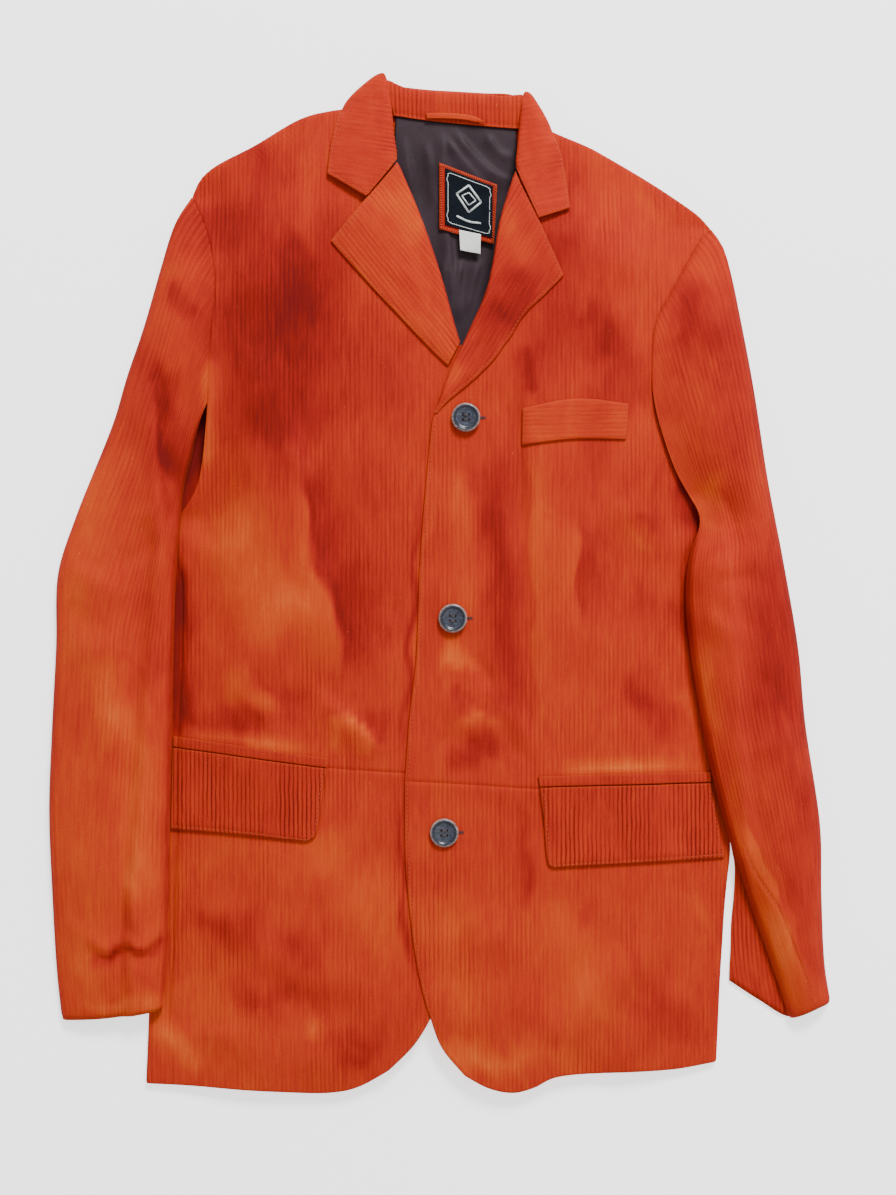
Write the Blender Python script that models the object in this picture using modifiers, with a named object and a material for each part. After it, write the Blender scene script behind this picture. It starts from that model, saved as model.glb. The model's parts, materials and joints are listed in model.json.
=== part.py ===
"""A three-button jacket of ribbed suede, laid flat on its back with its sleeves beside it.

Tables hold millimetres and the meshes metres. +X is the wearer's left, +Y runs up to the collar, +Z is up.
Each cut piece is an open surface, worked out from its outline and from one height rule for its side of the
jacket, and a Solidify modifier gives it the cloth's thickness. "right" and "left" are the wearer's.
"""

import math

import bmesh
import bpy
import numpy as np

MM = 0.001
CENTRE_X, CENTRE_Y = -0.415, -0.734  # middle of the outline, moved to the origin

CLOTH = 1.8  # suede
FLAP_CLOTH = 2.4  # doubled pocket flap
SATIN = 1.0  # lining
SEAM = 0.3  # gap between two cut pieces at a seam
POCKET_LIE = 1.2  # gap under a flap or welt
LIE = 0.5  # gap under a piece that lies on another
OVER = CLOTH + LIE  # rise of the upper face of a piece that lies on another
BACK_TOP = CLOTH
EDGE_Z = BACK_TOP + 1.85  # upper face of a front at its side and shoulder seams
PRESSED_Z = 5.0  # upper face of a front where a sleeve lies on its side
SLEEVE_LIFT = PRESSED_Z + 2.5 * LIE  # underside of a sleeve where it lies on a front
ARMHOLE_RISE = 15.0
ARM_SEAM = 0.8  # gap at an armhole, where both pieces curve
SPARE = 3.0  # a front stays pressed this far past the sleeve on it
ROLL_INSET = CLOTH + 2.2  # a front's edge is this far inside the lapel's turn
SLEEVE_LOFT = 21.0
NECK_RAISE = 2.4  # the back is this much higher over the hidden part of the collar
BUTTON_R, BUTTON_THICK, BUTTON_HOLE_R, BUTTON_HOLE_OUT = 11.2, 4.0, 1.1, 2.7
LABEL_LIE = LIE + 0.5  # gap between the lining and the label's border
BORDER_CLOTH, LABEL_CLOTH = 1.2, 1.0
LOOP_CLOTH, LOOP_HALF_WIDTH = 1.2, 1.8
LEVEL_LAPEL = 70.0  # a lapel of this width or more has its full lift

# Outlines, each from its low or inner end upward or outward (x, y).
RIGHT_SIDE = [(-231, -394), (-229, -341), (-228, -300), (-223, -200), (-216.5, -100), (-212, -50),
              (-208.5, 0), (-205, 50)]
RIGHT_ARMHOLE = [(-205, 50), (-190, 75), (-182, 126), (-179, 187), (-175.5, 225), (-179, 260),
                 (-187, 285.5), (-195, 301)]
RIGHT_BACK_ARMHOLE = [(-205, 50), (-199, 85), (-190, 120), (-183, 150), (-178, 200), (-175.5, 225),
                      (-179, 260), (-187, 285.5), (-195, 301)]
RIGHT_SHOULDER = [(-195, 301), (-189, 314), (-179, 324), (-145.5, 342), (-112, 361.5), (-88, 368),
                  (-62, 371)]
RIGHT_ROLL = [(17, 183), (11.5, 198), (1, 236), (-15, 283), (-33, 326)]
RIGHT_NECK = [(-33, 326), (-36, 345), (-47, 362), (-62, 371)]
RIGHT_HIDDEN_EDGE = [(36, -150), (38, -30), (44, 110), (32, 160), (17, 183)]
RIGHT_LOWER_EDGE = [(-40, -382), (-21, -363), (-8, -342), (5, -310), (15, -275), (24, -230), (30, -190),
                    (36, -150)]
RIGHT_HEM = [(-231, -394), (-191, -395.5), (-134, -399), (-83, -400), (-64, -395.5), (-40, -382)]
RIGHT_WAIST = [(-219, -130), (-210, -130.5), (-150, -137), (-88, -145), (-28, -149), (36, -150)]

LEFT_SIDE = [(216.5, -377), (220, -303), (224, -244), (227.4, -209), (223, -158), (219, -98), (215, -31),
             (211, 20), (208, 50)]
LEFT_ARMHOLE = [(208, 50), (188, 79), (176, 113), (166, 139), (164, 171), (167, 201), (178, 222),
                (193, 250), (205, 269.5), (212, 276)]
LEFT_SHOULDER = [(75, 357), (91, 350), (120, 338), (154, 319), (184.5, 299.5), (203, 286), (212, 276)]
LEFT_FRONT_EDGE = [(-27.7, -155), (-24, -104), (-19, -62), (-16, 14), (-11, 78), (-8, 110), (-6, 125.6)]
LEFT_ROLL = [(-6, 125.6), (7.4, 163), (17, 183), (35, 224), (40, 245), (46, 280), (58, 319)]
LEFT_NECK = [(58, 319), (62, 342), (75, 357)]
LEFT_LOWER_EDGE = [(19, -386), (1, -364), (-8, -340), (-15, -315), (-21, -283), (-25, -246), (-27, -225),
                   (-27.7, -191), (-27.7, -155)]
LEFT_HEM = [(19, -386), (38, -396), (57, -399.4), (73, -395.5), (88.5, -388), (127.5, -384.5),
            (185.6, -382), (216.5, -377)]
LEFT_WAIST = [(-27.7, -155), (24, -158), (76, -161), (150, -159), (223, -158)]

BACK_HEM = [(-231, -394), (-120, -362), (-8, -335), (110, -355), (216.5, -377)]
BACK_NECK = [(-62, 371), (-50, 367), (-35, 364), (-15, 361), (12, 358), (40, 355.5), (59, 354), (75, 357)]

RIGHT_SLEEVE_OUTER = [(-297, -344), (-301, -307), (-305, -237), (-307, -180), (-305, -120), (-301.5, -50),
                      (-300, 6), (-287, 48), (-256, 126), (-246, 160), (-233, 198), (-219, 246),
                      (-208, 279), (-195, 301)]
RIGHT_SLEEVE_INNER = [(-218, -335), (-214, -284), (-213, -250), (-211.5, -185), (-209.4, -82), (-208, -4),
                      (-207, 48), (-204, 70), (-197, 93), (-190, 119), (-183.5, 138)]
RIGHT_UNDER_INNER = [(-218, -335), (-214, -284), (-213, -250), (-211.5, -185), (-209.4, -82), (-208, -4),
                     (-205.5, 49)]
RIGHT_CUFF = [(-297, -344), (-261, -341), (-218, -335)]
LEFT_SLEEVE_OUTER = [(306, -330), (301.5, -301), (299, -246), (298, -193), (286, -110), (281, -55), (269, 16),
                     (257, 79), (246, 150), (236, 203), (229, 236), (221, 262), (212, 276)]
LEFT_SLEEVE_INNER = [(275, -343), (258.6, -294), (244, -253.5), (227.4, -204), (213, -150), (203, -98),
                     (194, -31), (193.5, 0), (196, 16), (203, 30), (211, 42), (208.5, 50)]
LEFT_UNDER_INNER = [(227, -314), (229, -265), (231, -228), (226, -200), (213, -150), (203, -98),
                    (194, -31), (193.5, 0), (196, 16), (203, 30), (211, 42), (208.5, 50)]
LEFT_CUFF = [(306, -330), (294.5, -333.5), (275, -343)]
LEFT_UNDER_CUFF = [(306, -330), (292, -336), (275, -342.5), (250, -329), (227, -314)]

# Width of front that lies under a sleeve (y, width).
RIGHT_OVERLAP = [(-352, 0), (-345, 13.5), (-284, 15.5), (-185, 13), (-82, 8.5), (-4, 4), (22, 0)]
LEFT_OVERLAP = [(-212, 0), (-204, 3), (-150, 12.5), (-98, 18.5), (-31, 23.5), (0, 21), (16, 17.5), (30, 10),
                (42, 3), (50, 0)]
# Height of a front's upper face in its middle, along the jacket (y, height).
CROWN = [(-400, 10.5), (-345, 14), (-160, 18), (0, 22), (150, 24), (250, 22), (320, 18), (380, 15)]
# Largest folds of the fronts: a ridge, or a trough where height is negative (x0, y0, x1, y1, width, height).
FOLDS = [
    (-112, 75, -93, 3, 15, 3.2),
    (-93, 3, -86, -88, 14, 3.4),
    (-88, -92, -50, -121, 12, 2.2),
    (52, 180, 62, 55, 14, -2.4),
    (62, 55, 68, -137, 13, -2.6),
    (100, -365, 165, -300, 20, 2.0),
    (165, -300, 200, -250, 20, 1.6),
    (-190, -300, -110, -340, 24, 1.6),
]


# Armhole stations, as shares of its length: the pieces on either side of it meet at the same points.
PIT = 0.36  # the sleeve's inner edge is sewn in up to here, and its head above
PIT_ROWS = 3  # stations below the pit's end
FRONT_ARMHOLE = np.array([0, 0.12, 0.24, PIT, 0.366, 0.376, 0.395, 0.46, 0.56, 0.68, 0.8, 0.9, 0.965, 0.984,
                          0.994, 1])
UNDER_ARMHOLE = np.array([0, 0.12, 0.24, PIT, 0.4, 0.45, 0.52, 0.62, 0.74, 0.86, 1])
TOP_SLEEVE = np.linspace(0, 1, 14)[:-1]  # stations up a sleeve's free edge
# The share of a piece's outline, from its low edge up, that lies below the pit.
BACK_SIDE, FRONT_SIDE, SLEEVE_FREE = 0.62, 0.42, 0.74


# Curves and patches ---------------------------------------------------------------------------------------

OUTLINE_STEPS = 8  # points that a smooth line gets for each one of its outline


def smooth(points, steps=OUTLINE_STEPS):
    """A centripetal Catmull-Rom curve through the points, which keeps clear of loops and overshoot."""
    p = np.array(points, float)
    if len(p) < 3:
        return p
    p = np.vstack([2 * p[0] - p[1], p, 2 * p[-1] - p[-2]])
    knots = np.concatenate([[0], np.cumsum(np.sqrt(np.linalg.norm(np.diff(p, axis=0), axis=1)))])
    found = []
    for i in range(1, len(p) - 2):
        k0, k1, k2, k3 = knots[i - 1:i + 3]
        for t in np.linspace(k1, k2, steps, endpoint=False):
            a1 = (k1 - t) / (k1 - k0) * p[i - 1] + (t - k0) / (k1 - k0) * p[i]
            a2 = (k2 - t) / (k2 - k1) * p[i] + (t - k1) / (k2 - k1) * p[i + 1]
            a3 = (k3 - t) / (k3 - k2) * p[i + 1] + (t - k2) / (k3 - k2) * p[i + 2]
            b1 = (k2 - t) / (k2 - k0) * a1 + (t - k0) / (k2 - k0) * a2
            b2 = (k3 - t) / (k3 - k1) * a2 + (t - k1) / (k3 - k1) * a3
            found.append((k2 - t) / (k2 - k1) * b1 + (t - k1) / (k2 - k1) * b2)
    found.append(p[-2])
    return np.array(found)


def chain(*stretches):
    """One line from several outlines that follow each other, each smooth, with a corner where two meet."""
    return np.vstack([smooth(stretch) for stretch in stretches])


def shifted(line, dx=0.0, dy=0.0):
    return np.asarray(line, float) + (dx, dy)


def beside(line, gap):
    """The line moved sideways, to the right of the way it runs."""
    way = np.gradient(line, axis=0)
    way = way / np.linalg.norm(way, axis=1)[:, None]
    return line + gap * np.stack([way[:, 1], -way[:, 0]], axis=1)


def along(line, fractions):
    """Points of the line at these fractions of its length."""
    lengths = np.concatenate([[0], np.cumsum(np.linalg.norm(np.diff(line, axis=0), axis=1))])
    at = np.asarray(fractions, float) * lengths[-1]
    return np.stack([np.interp(at, lengths, line[:, k]) for k in range(line.shape[1])], axis=-1)


def patch_between(low, high, first, last, us, vs):
    """A Coons patch from the points of its four sides: low and high run with u, first and last with v."""
    u = np.asarray(us)[None, :, None]
    v = np.asarray(vs)[:, None, None]
    corners = (1 - u) * (1 - v) * low[0] + u * (1 - v) * low[-1] + (1 - u) * v * high[0] + u * v * high[-1]
    found = (1 - v) * low[None] + v * high[None] + (1 - u) * first[:, None] + u * last[:, None] - corners
    return found[..., 0], found[..., 1]


def patch(low, high, first, last, us, vs):
    """A Coons patch between four lines."""
    return patch_between(along(low, us), along(high, us), along(first, vs), along(last, vs), us, vs)


def joined(side, side_fractions, armhole, armhole_fractions):
    """Points up a side seam and then round an armhole, at fractions of each."""
    return np.vstack([along(side, side_fractions), along(armhole, armhole_fractions)])


def up_both(below, above, share):
    """Fractions of a whole outline, from those of its part below the pit (this share of it) and above."""
    return np.concatenate([below * share, share + (1 - share) * above])


def stations(count, near_start=(), near_end=(), length=1.0):
    """Fractions from 0 to 1: those named in millimetres near either end, and count even ones between."""
    start = [0.0] + [d / length for d in near_start]
    end = [1.0 - d / length for d in reversed(near_end)] + [1.0]
    middle = np.linspace(start[-1], end[0], count + 2)[1:-1]
    return np.array(start + list(middle) + end)


# Heights --------------------------------------------------------------------------------------------------

def soft_step(t):
    t = np.clip(t, 0, 1)
    return t * t * (3 - 2 * t)


def quarter_round(t):
    """Rises upright from 0 and levels off at 1, as cloth does that turns over an edge."""
    return np.sqrt(1 - (1 - np.clip(t, 0, 1)) ** 2)


def table(rows, at):
    rows = np.array(rows, float)
    return np.interp(at, rows[:, 0], rows[:, 1])


def distance(x, y, line):
    """Shortest way from each point to the line."""
    nearest = np.full(np.shape(x), np.inf)
    for (x0, y0), (x1, y1) in zip(line[:-1], line[1:]):
        span = (x1 - x0) ** 2 + (y1 - y0) ** 2
        if span == 0:
            continue
        t = np.clip(((x - x0) * (x1 - x0) + (y - y0) * (y1 - y0)) / span, 0, 1)
        nearest = np.minimum(nearest, np.hypot(x - x0 - t * (x1 - x0), y - y0 - t * (y1 - y0)))
    return nearest


def folds(x, y):
    total = 0
    for x0, y0, x1, y1, width, height in FOLDS:
        away = distance(x, y, [(x0, y0), (x1, y1)])
        total = total + height * np.exp(-((away / width) ** 2))
    return total


def neck_raise(x, y):
    return NECK_RAISE * soft_step((y - 300) / 28) * soft_step((130 - np.abs(x - 8)) / 25)


class Side:
    """The seams of one side of the jacket, and the heights that follow from them."""

    def __init__(self, side, armhole, shoulder, overlap, outward, settle):
        self.side, self.armhole, self.shoulder = smooth(side), smooth(armhole), smooth(shoulder)
        self.overlap, self.outward, self.settle = overlap, outward, settle
        self.arm_low, self.arm_high = armhole[0][1], armhole[-1][1]

    def armhole_z(self, y):
        k = np.clip((y - self.arm_low) / (self.arm_high - self.arm_low), 0, 1)
        return EDGE_Z + ARMHOLE_RISE * np.sin(math.pi * k) ** 0.7

    def front_z(self, x, y):
        """Upper face of this side's front."""
        d = np.minimum(distance(x, y, self.side), distance(x, y, self.shoulder))
        line = self.shoulder[np.argsort(self.shoulder[:, 0])]
        d = np.where(y > np.interp(x, line[:, 0], line[:, 1]), 0, d)
        covered = table(self.overlap, y)
        inside = d - covered - SPARE * soft_step(covered / 4)
        loft = table(CROWN, y) - PRESSED_Z + folds(x, y)
        free = (EDGE_Z + (PRESSED_Z - EDGE_Z) * quarter_round(d / 3)
                + loft * (0.16 * quarter_round(inside / 9) + 0.84 * soft_step(inside / 80)))
        below = soft_step((self.arm_low + 4 - y) / 30)
        away = np.maximum(soft_step(distance(x, y, self.armhole) / 45), below)
        return (1 - away) * self.armhole_z(y) + away * free + neck_raise(x, y)

    def sleeve_base(self, x, y):
        """How far a sleeve is lifted where it lies on this side's front."""
        seam_x = np.interp(y, self.side[:, 1], self.side[:, 0])
        out = (x - seam_x) * self.outward
        (top, run), (low, low_run) = self.settle
        part = soft_step((top - y) / run) * soft_step((y - low) / low_run)
        return SLEEVE_LIFT * part * soft_step((22 - out) / 14)


RIGHT = Side(RIGHT_SIDE, RIGHT_ARMHOLE, RIGHT_SHOULDER, RIGHT_OVERLAP, -1, ((60, 30), (-420, 10)))
LEFT = Side(LEFT_SIDE, LEFT_ARMHOLE, LEFT_SHOULDER, LEFT_OVERLAP, 1, ((92, 44), (-262, 50)))


def right_front_z(x, y):
    return RIGHT.front_z(x, y)


def left_front_z(x, y):
    """The left front lies on the right one past its buttons, and is raised where the lapel breaks."""
    lap = OVER * soft_step((125 - x) / 60)
    lapel_break = 1.8 * np.exp(-(((x - 2) / 22) ** 2) - ((y - 150) / 40) ** 2)
    return LEFT.front_z(x, y) + lap + lapel_break


def lining_z(x, y):
    return BACK_TOP + LIE + 0.3 + SATIN + neck_raise(x, y)


# Making objects -------------------------------------------------------------------------------------------

def clear_scene():
    for item in list(bpy.data.objects):
        bpy.data.objects.remove(item, do_unlink=True)


def collection(name):
    made = bpy.data.collections.new(name)
    bpy.context.scene.collection.children.link(made)
    return made


def material(name, colour, roughness):
    made = bpy.data.materials.new(name)
    made.use_nodes = True
    shader = made.node_tree.nodes["Principled BSDF"]
    shader.inputs["Base Color"].default_value = (*colour, 1)
    shader.inputs["Roughness"].default_value = roughness
    shader.inputs["Metallic"].default_value = 0.0
    made.diffuse_color = (*colour, 1)
    return made


def cloth(name, x, y, z, finish, thickness=CLOTH, face_up=(0, 0)):
    """A sheet through a grid of points, its outer face, thickened inward. At the cell face_up it faces up."""
    rows, columns = x.shape
    mesh = bpy.data.meshes.new(name)
    grid = bmesh.new()
    bmesh.ops.create_grid(grid, x_segments=columns - 1, y_segments=rows - 1, size=1)
    grid.verts.ensure_lookup_table()
    for vert, px, py, pz in zip(grid.verts, x.ravel(), y.ravel(), z.ravel()):
        vert.co = ((px - CENTRE_X) * MM, (py - CENTRE_Y) * MM, pz * MM)
    grid.faces.ensure_lookup_table()
    grid.normal_update()
    row, column = face_up
    if grid.faces[row * (columns - 1) + column].normal.z < 0:
        bmesh.ops.reverse_faces(grid, faces=grid.faces)
    grid.to_mesh(mesh)
    grid.free()
    made = bpy.data.objects.new(name, mesh)
    GARMENT.objects.link(made)
    mesh.materials.append(finish)
    mesh.shade_smooth()
    wall = made.modifiers.new("wall", "SOLIDIFY")
    wall.thickness = thickness * MM
    wall.offset = -1
    return made


# The cut pieces -------------------------------------------------------------------------------------------

def make_back():
    high = chain(RIGHT_SHOULDER, BACK_NECK, LEFT_SHOULDER)
    us, seam = stations(15), np.linspace(0, 1, 8)[:-1]
    vs = up_both(seam, UNDER_ARMHOLE, BACK_SIDE)
    x, y = patch_between(along(smooth(BACK_HEM), us), along(high, us),
                         joined(RIGHT.side, seam, smooth(RIGHT_BACK_ARMHOLE), UNDER_ARMHOLE),
                         joined(LEFT.side, seam, LEFT.armhole, UNDER_ARMHOLE), us, vs)
    cloth("back", x, y, BACK_TOP + neck_raise(x, y), SUEDE, face_up=(3, 6))


def make_lining():
    low, high = np.array([(-48.0, 90), (78, 90)]), shifted(smooth(BACK_NECK[2:7]), 0, 0.6)
    x, y = patch(low, high, np.array([(-48.0, 90), (-35, 364.6)]), np.array([(78.0, 90), (59, 354.6)]),
                 stations(6), stations(12))
    cloth("lining_back", x, y, lining_z(x, y), LINING, SATIN)


def make_fronts():
    half = SEAM / 2
    side_mm = (1.2, 4, 9, 16, 23, 31, 42)
    seam = np.linspace(0, 1, 6)[:-1]
    vs = up_both(seam, FRONT_ARMHOLE, FRONT_SIDE)
    lower_vs = stations(9)
    # Right front, under: its outline runs from the side seam across to the hidden edge.
    us = stations(9, side_mm, (), 240)
    waist = smooth(RIGHT_WAIST)
    roll = shifted(chain(RIGHT_ROLL, RIGHT_NECK[:2]), -ROLL_INSET)
    edge = np.vstack([smooth([waist[-1] + (0, half)] + RIGHT_HIDDEN_EDGE[1:]), roll,
                      smooth([roll[-1], RIGHT_NECK[2], RIGHT_NECK[3]])])
    outer = smooth([waist[0] + (0, half)] + RIGHT_SIDE[4:])
    x, y = patch_between(along(shifted(waist, 0, half), us), along(RIGHT.shoulder, us),
                         joined(outer, seam, RIGHT.armhole, FRONT_ARMHOLE), along(edge, vs), us, vs)
    cloth("front_right_upper", x, y, right_front_z(x, y), SUEDE, face_up=(5, 8))
    x, y = patch(smooth(RIGHT_HEM), shifted(waist, 0, -half),
                 smooth(RIGHT_SIDE[:4] + [waist[0] - (0, half)]),
                 smooth(RIGHT_LOWER_EDGE[:-1] + [waist[-1] - (0, half)]), us, lower_vs)
    cloth("front_right_lower", x, y, right_front_z(x, y), SUEDE, face_up=(5, 8))
    # Left front, over: its outline runs from the front edge across to the side seam.
    us = stations(9, (), side_mm, 240)
    waist = smooth(LEFT_WAIST)
    roll = shifted(chain(LEFT_ROLL, LEFT_NECK[:2]), ROLL_INSET)
    edge = np.vstack([smooth([waist[0] + (0, half)] + LEFT_FRONT_EDGE[1:]), roll,
                      smooth([roll[-1], LEFT_NECK[2]])])
    outer = smooth([waist[-1] + (0, half)] + LEFT_SIDE[5:])
    x, y = patch_between(along(shifted(waist, 0, half), us), along(LEFT.shoulder, us), along(edge, vs),
                         joined(outer, seam, LEFT.armhole, FRONT_ARMHOLE), us, vs)
    cloth("front_left_upper", x, y, left_front_z(x, y), SUEDE, face_up=(5, 8))
    x, y = patch(smooth(LEFT_HEM), shifted(waist, 0, -half),
                 smooth(LEFT_LOWER_EDGE[:-1] + [waist[0] - (0, half)]),
                 smooth(LEFT_SIDE[:4] + [waist[-1] - (0, half)]), us, lower_vs)
    cloth("front_left_lower", x, y, left_front_z(x, y), SUEDE, face_up=(5, 8))


def sleeve_z(side, x, y, us, attached):
    """Upper face of a sleeve's top piece, arched over the under piece and level with the front's armhole."""
    width = np.hypot(x[:, -1] - x[:, 0], y[:, -1] - y[:, 0])[:, None]
    near = np.minimum(us, 1 - us)[None, :] * width
    loft = SLEEVE_LOFT * soft_step((y[:, :1] + 560) / 420)
    arch = 0.36 * quarter_round(near / 7) + 0.64 * np.sin(math.pi * us)[None, :] ** 0.9
    base = side.sleeve_base(x, y)
    away = soft_step((distance(x, y, attached) - SEAM) / 50)
    sewn = np.maximum(side.armhole_z(y) - base, EDGE_Z + 2.5 * LIE)
    return base + (1 - away) * sewn + away * (EDGE_Z + loft * arch)


def split_armhole(line, share):
    """The armhole's stretch below this share of its length, and the stretch above it."""
    return along(line, np.linspace(0, share, 40)), along(line, np.linspace(share, 1, 60))


def make_sleeve(name, side, outer, inner, under_inner, cuff, under_cuff, armhole, under_armhole, pit_joined):
    """The head runs round the upper armhole, and the inner edge round the lower one if it is sewn there."""
    pit, head = split_armhole(armhole, PIT)
    under_pit, under_head = split_armhole(under_armhole, PIT)
    outer = smooth(outer[:-1] + [tuple(head[-1])])
    under_outer = smooth(list(map(tuple, outer[::OUTLINE_STEPS][:-1])) + [tuple(under_head[-1])])
    if pit_joined:
        pit_rows = np.append(FRONT_ARMHOLE[:PIT_ROWS] / PIT, 1.0)
        vs = up_both(TOP_SLEEVE, pit_rows, SLEEVE_FREE)
        inner_at = joined(smooth(inner + [tuple(pit[0])]), TOP_SLEEVE, pit, pit_rows)
        attached = np.vstack([pit, head])
    else:
        vs = stations(17, (), (6,), 600)
        inner_at = along(smooth(inner[:-1] + [tuple(head[0])]), vs)
        attached = head
    us = (1 - (FRONT_ARMHOLE[PIT_ROWS:] - PIT) / (1 - PIT))[::-1]
    x, y = patch_between(along(smooth(cuff), us), along(head[::-1], us), along(outer, vs), inner_at, us, vs)
    cloth(f"sleeve_{name}_top", x, y, sleeve_z(side, x, y, us, attached), SUEDE, face_up=(6, 5))
    us = (1 - (UNDER_ARMHOLE[PIT_ROWS:] - PIT) / (1 - PIT))[::-1]
    pit_rows = np.append(UNDER_ARMHOLE[:PIT_ROWS] / PIT, 1.0)
    vs = up_both(TOP_SLEEVE, pit_rows, SLEEVE_FREE)
    inner_at = joined(smooth(under_inner + [tuple(under_pit[0])]), TOP_SLEEVE, under_pit, pit_rows)
    x, y = patch_between(along(smooth(under_cuff), us), along(under_head[::-1], us), along(under_outer, vs),
                         inner_at, us, vs)
    cloth(f"sleeve_{name}_under", x, y, side.sleeve_base(x, y) + CLOTH, SUEDE, face_up=(6, 3))


def make_sleeves():
    make_sleeve("right", RIGHT, RIGHT_SLEEVE_OUTER, RIGHT_SLEEVE_INNER, RIGHT_UNDER_INNER[:-1], RIGHT_CUFF,
                RIGHT_CUFF, beside(RIGHT.armhole, -ARM_SEAM),
                beside(smooth(RIGHT_BACK_ARMHOLE), -ARM_SEAM), False)
    make_sleeve("left", LEFT, LEFT_SLEEVE_OUTER, LEFT_SLEEVE_INNER[:-1], LEFT_UNDER_INNER[:-1], LEFT_CUFF,
                LEFT_UNDER_CUFF, beside(LEFT.armhole, ARM_SEAM), beside(LEFT.armhole, 1.5 * ARM_SEAM), True)


# A lapel's section from the roll line outward: millimetres out, and rise over the front's upper face.
LAPEL_TURN = [(0.3, -0.7), (0.3, 0.6), (1.2, 1.9), (3.0, 2.9)]
LAPEL_LIFT = 2.6


def make_lapel(name, roll, outer, front_z, rows):
    """Turns over the front's edge at the roll line and lies on the front as far as its own outer edge."""
    fractions = np.array([0.16, 0.4, 0.7, 1.0])
    start, end = along(roll, rows), along(outer, rows)
    width = np.linalg.norm(end - start, axis=1)[:, None]
    way = (end - start) / width
    turn = np.array(LAPEL_TURN)
    out = np.hstack([np.repeat(turn[None, :, 0], len(rows), 0),
                     turn[-1, 0] + (width - turn[-1, 0]) * fractions[None, :]])
    soft = LAPEL_LIFT * np.clip(width / LEVEL_LAPEL, 0, 1) * np.sin(math.pi * fractions)[None, :]
    rise = np.hstack([np.repeat(turn[None, :, 1], len(rows), 0), OVER + 0.4 + soft])
    x = start[:, :1] + way[:, :1] * out
    y = start[:, 1:] + way[:, 1:] * out
    cloth(name, x, y, front_z(x, y) + rise, SUEDE, face_up=(4, 5))


def make_lapels():
    rows = stations(8)
    make_lapel("lapel_left", smooth([(-4.6, 129.4), (7.4, 163), (17, 183), (35, 224), (40, 245), (46, 280),
                                     (57.8, 318.6)]),
               smooth([(3, 136.5), (25, 154), (42, 171), (49, 181), (55, 189), (65, 205), (81.5, 221.5),
                       (95.6, 236)]),
               left_front_z, rows)
    make_lapel("lapel_right", smooth([(15.6, 184.6), (11.5, 198), (1, 236), (-15, 283), (-33, 325.6)]),
               smooth([(5.6, 166), (-4.4, 175.5), (-24, 196), (-42, 215), (-64, 239), (-85, 263)]),
               right_front_z, rows)


# The collar's hidden stretch, from the wearer's right fold line to the left one (roll x, y, free edge x, y).
COLLAR_BEHIND = [(-42.2, 395.2, -74.6, 372.2), (-35, 388.5, -62, 352), (-12, 385.5, -25, 338),
                 (12, 384, 8, 336), (36, 382.6, 44, 335), (55, 381.6, 72, 339), (64, 382, 89, 352.4)]
ROLL_TURN = [0.0, 1.5, 5.0]  # millimetres from the roll line
ROLL_DROP = [3.6, 1.1, 0.0]
COLLAR_WIDTH = 48.0
COLLAR_FOLD_Z = 5.6
STAND_Z = [7.9, 8.9, 9.6, 9.3, 8.4, 6.9]  # from the neck seam to the roll line


def collar_leaf(roll, free, end, fold, front_z):
    """The side of the collar that lies on a front, as rows from its notched end to its fold line."""
    vs = np.array([0, 0.18, 0.4, 0.62, 0.8, 0.92, 0.98, 1.0])
    us = np.array([d / COLLAR_WIDTH for d in ROLL_TURN] + [0.35, 0.62, 0.85, 1.0])
    x, y = patch(end, fold, roll, free, us, vs)
    z = front_z(x, y) + OVER + 1.5 + 2.0 * np.sin(math.pi * us)[None, :]
    z[:, :len(ROLL_DROP)] -= np.array(ROLL_DROP)[None, :]
    part = quarter_round(distance(x, y, fold) / 12)
    return x, y, COLLAR_FOLD_Z + (z - COLLAR_FOLD_Z) * part


def make_collar_fall():
    right = collar_leaf(smooth([(-33.2, 326.9), (-36, 350), (-39, 376), (-44, 399)]),
                        smooth([(-88, 316), (-85, 335), (-82, 352), (-77, 377)]),
                        np.array([(-33.2, 326.9), (-57, 297), (-88, 316)]),
                        np.array([(-44.0, 399), (-60, 389), (-77, 377)]), right_front_z)
    left = collar_leaf(smooth([(59.0, 320.8), (59.4, 334), (61, 352), (63, 370), (66, 384.5)]),
                       smooth([(101, 289.2), (97, 312), (95, 326), (91.5, 356)]),
                       np.array([(59.0, 320.8), (77.2, 279.6), (101, 289.2)]),
                       np.array([(66.0, 384.5), (79, 371), (91.5, 356)]), left_front_z)
    us = np.array([0, 0.04, 0.12, 0.35, 0.62, 0.85, 1.0])
    rows = [tuple(part[k] for part in right) for k in range(right[0].shape[0])]
    for count, (rx, ry, fx, fy) in enumerate(COLLAR_BEHIND):
        low, rise = (0.6, 3.0) if count in (0, len(COLLAR_BEHIND) - 1) else (0.0, 4.4)
        z = low + rise * (1 - quarter_round(us / 0.12))
        rows.append((rx + (fx - rx) * us, ry + (fy - ry) * us, z))
    rows += [tuple(part[k] for part in left) for k in reversed(range(left[0].shape[0]))]
    x, y, z = (np.array([row[k] for row in rows]) for k in range(3))
    cloth("collar_fall", x, y, z, SUEDE, face_up=(2, 3))


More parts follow.
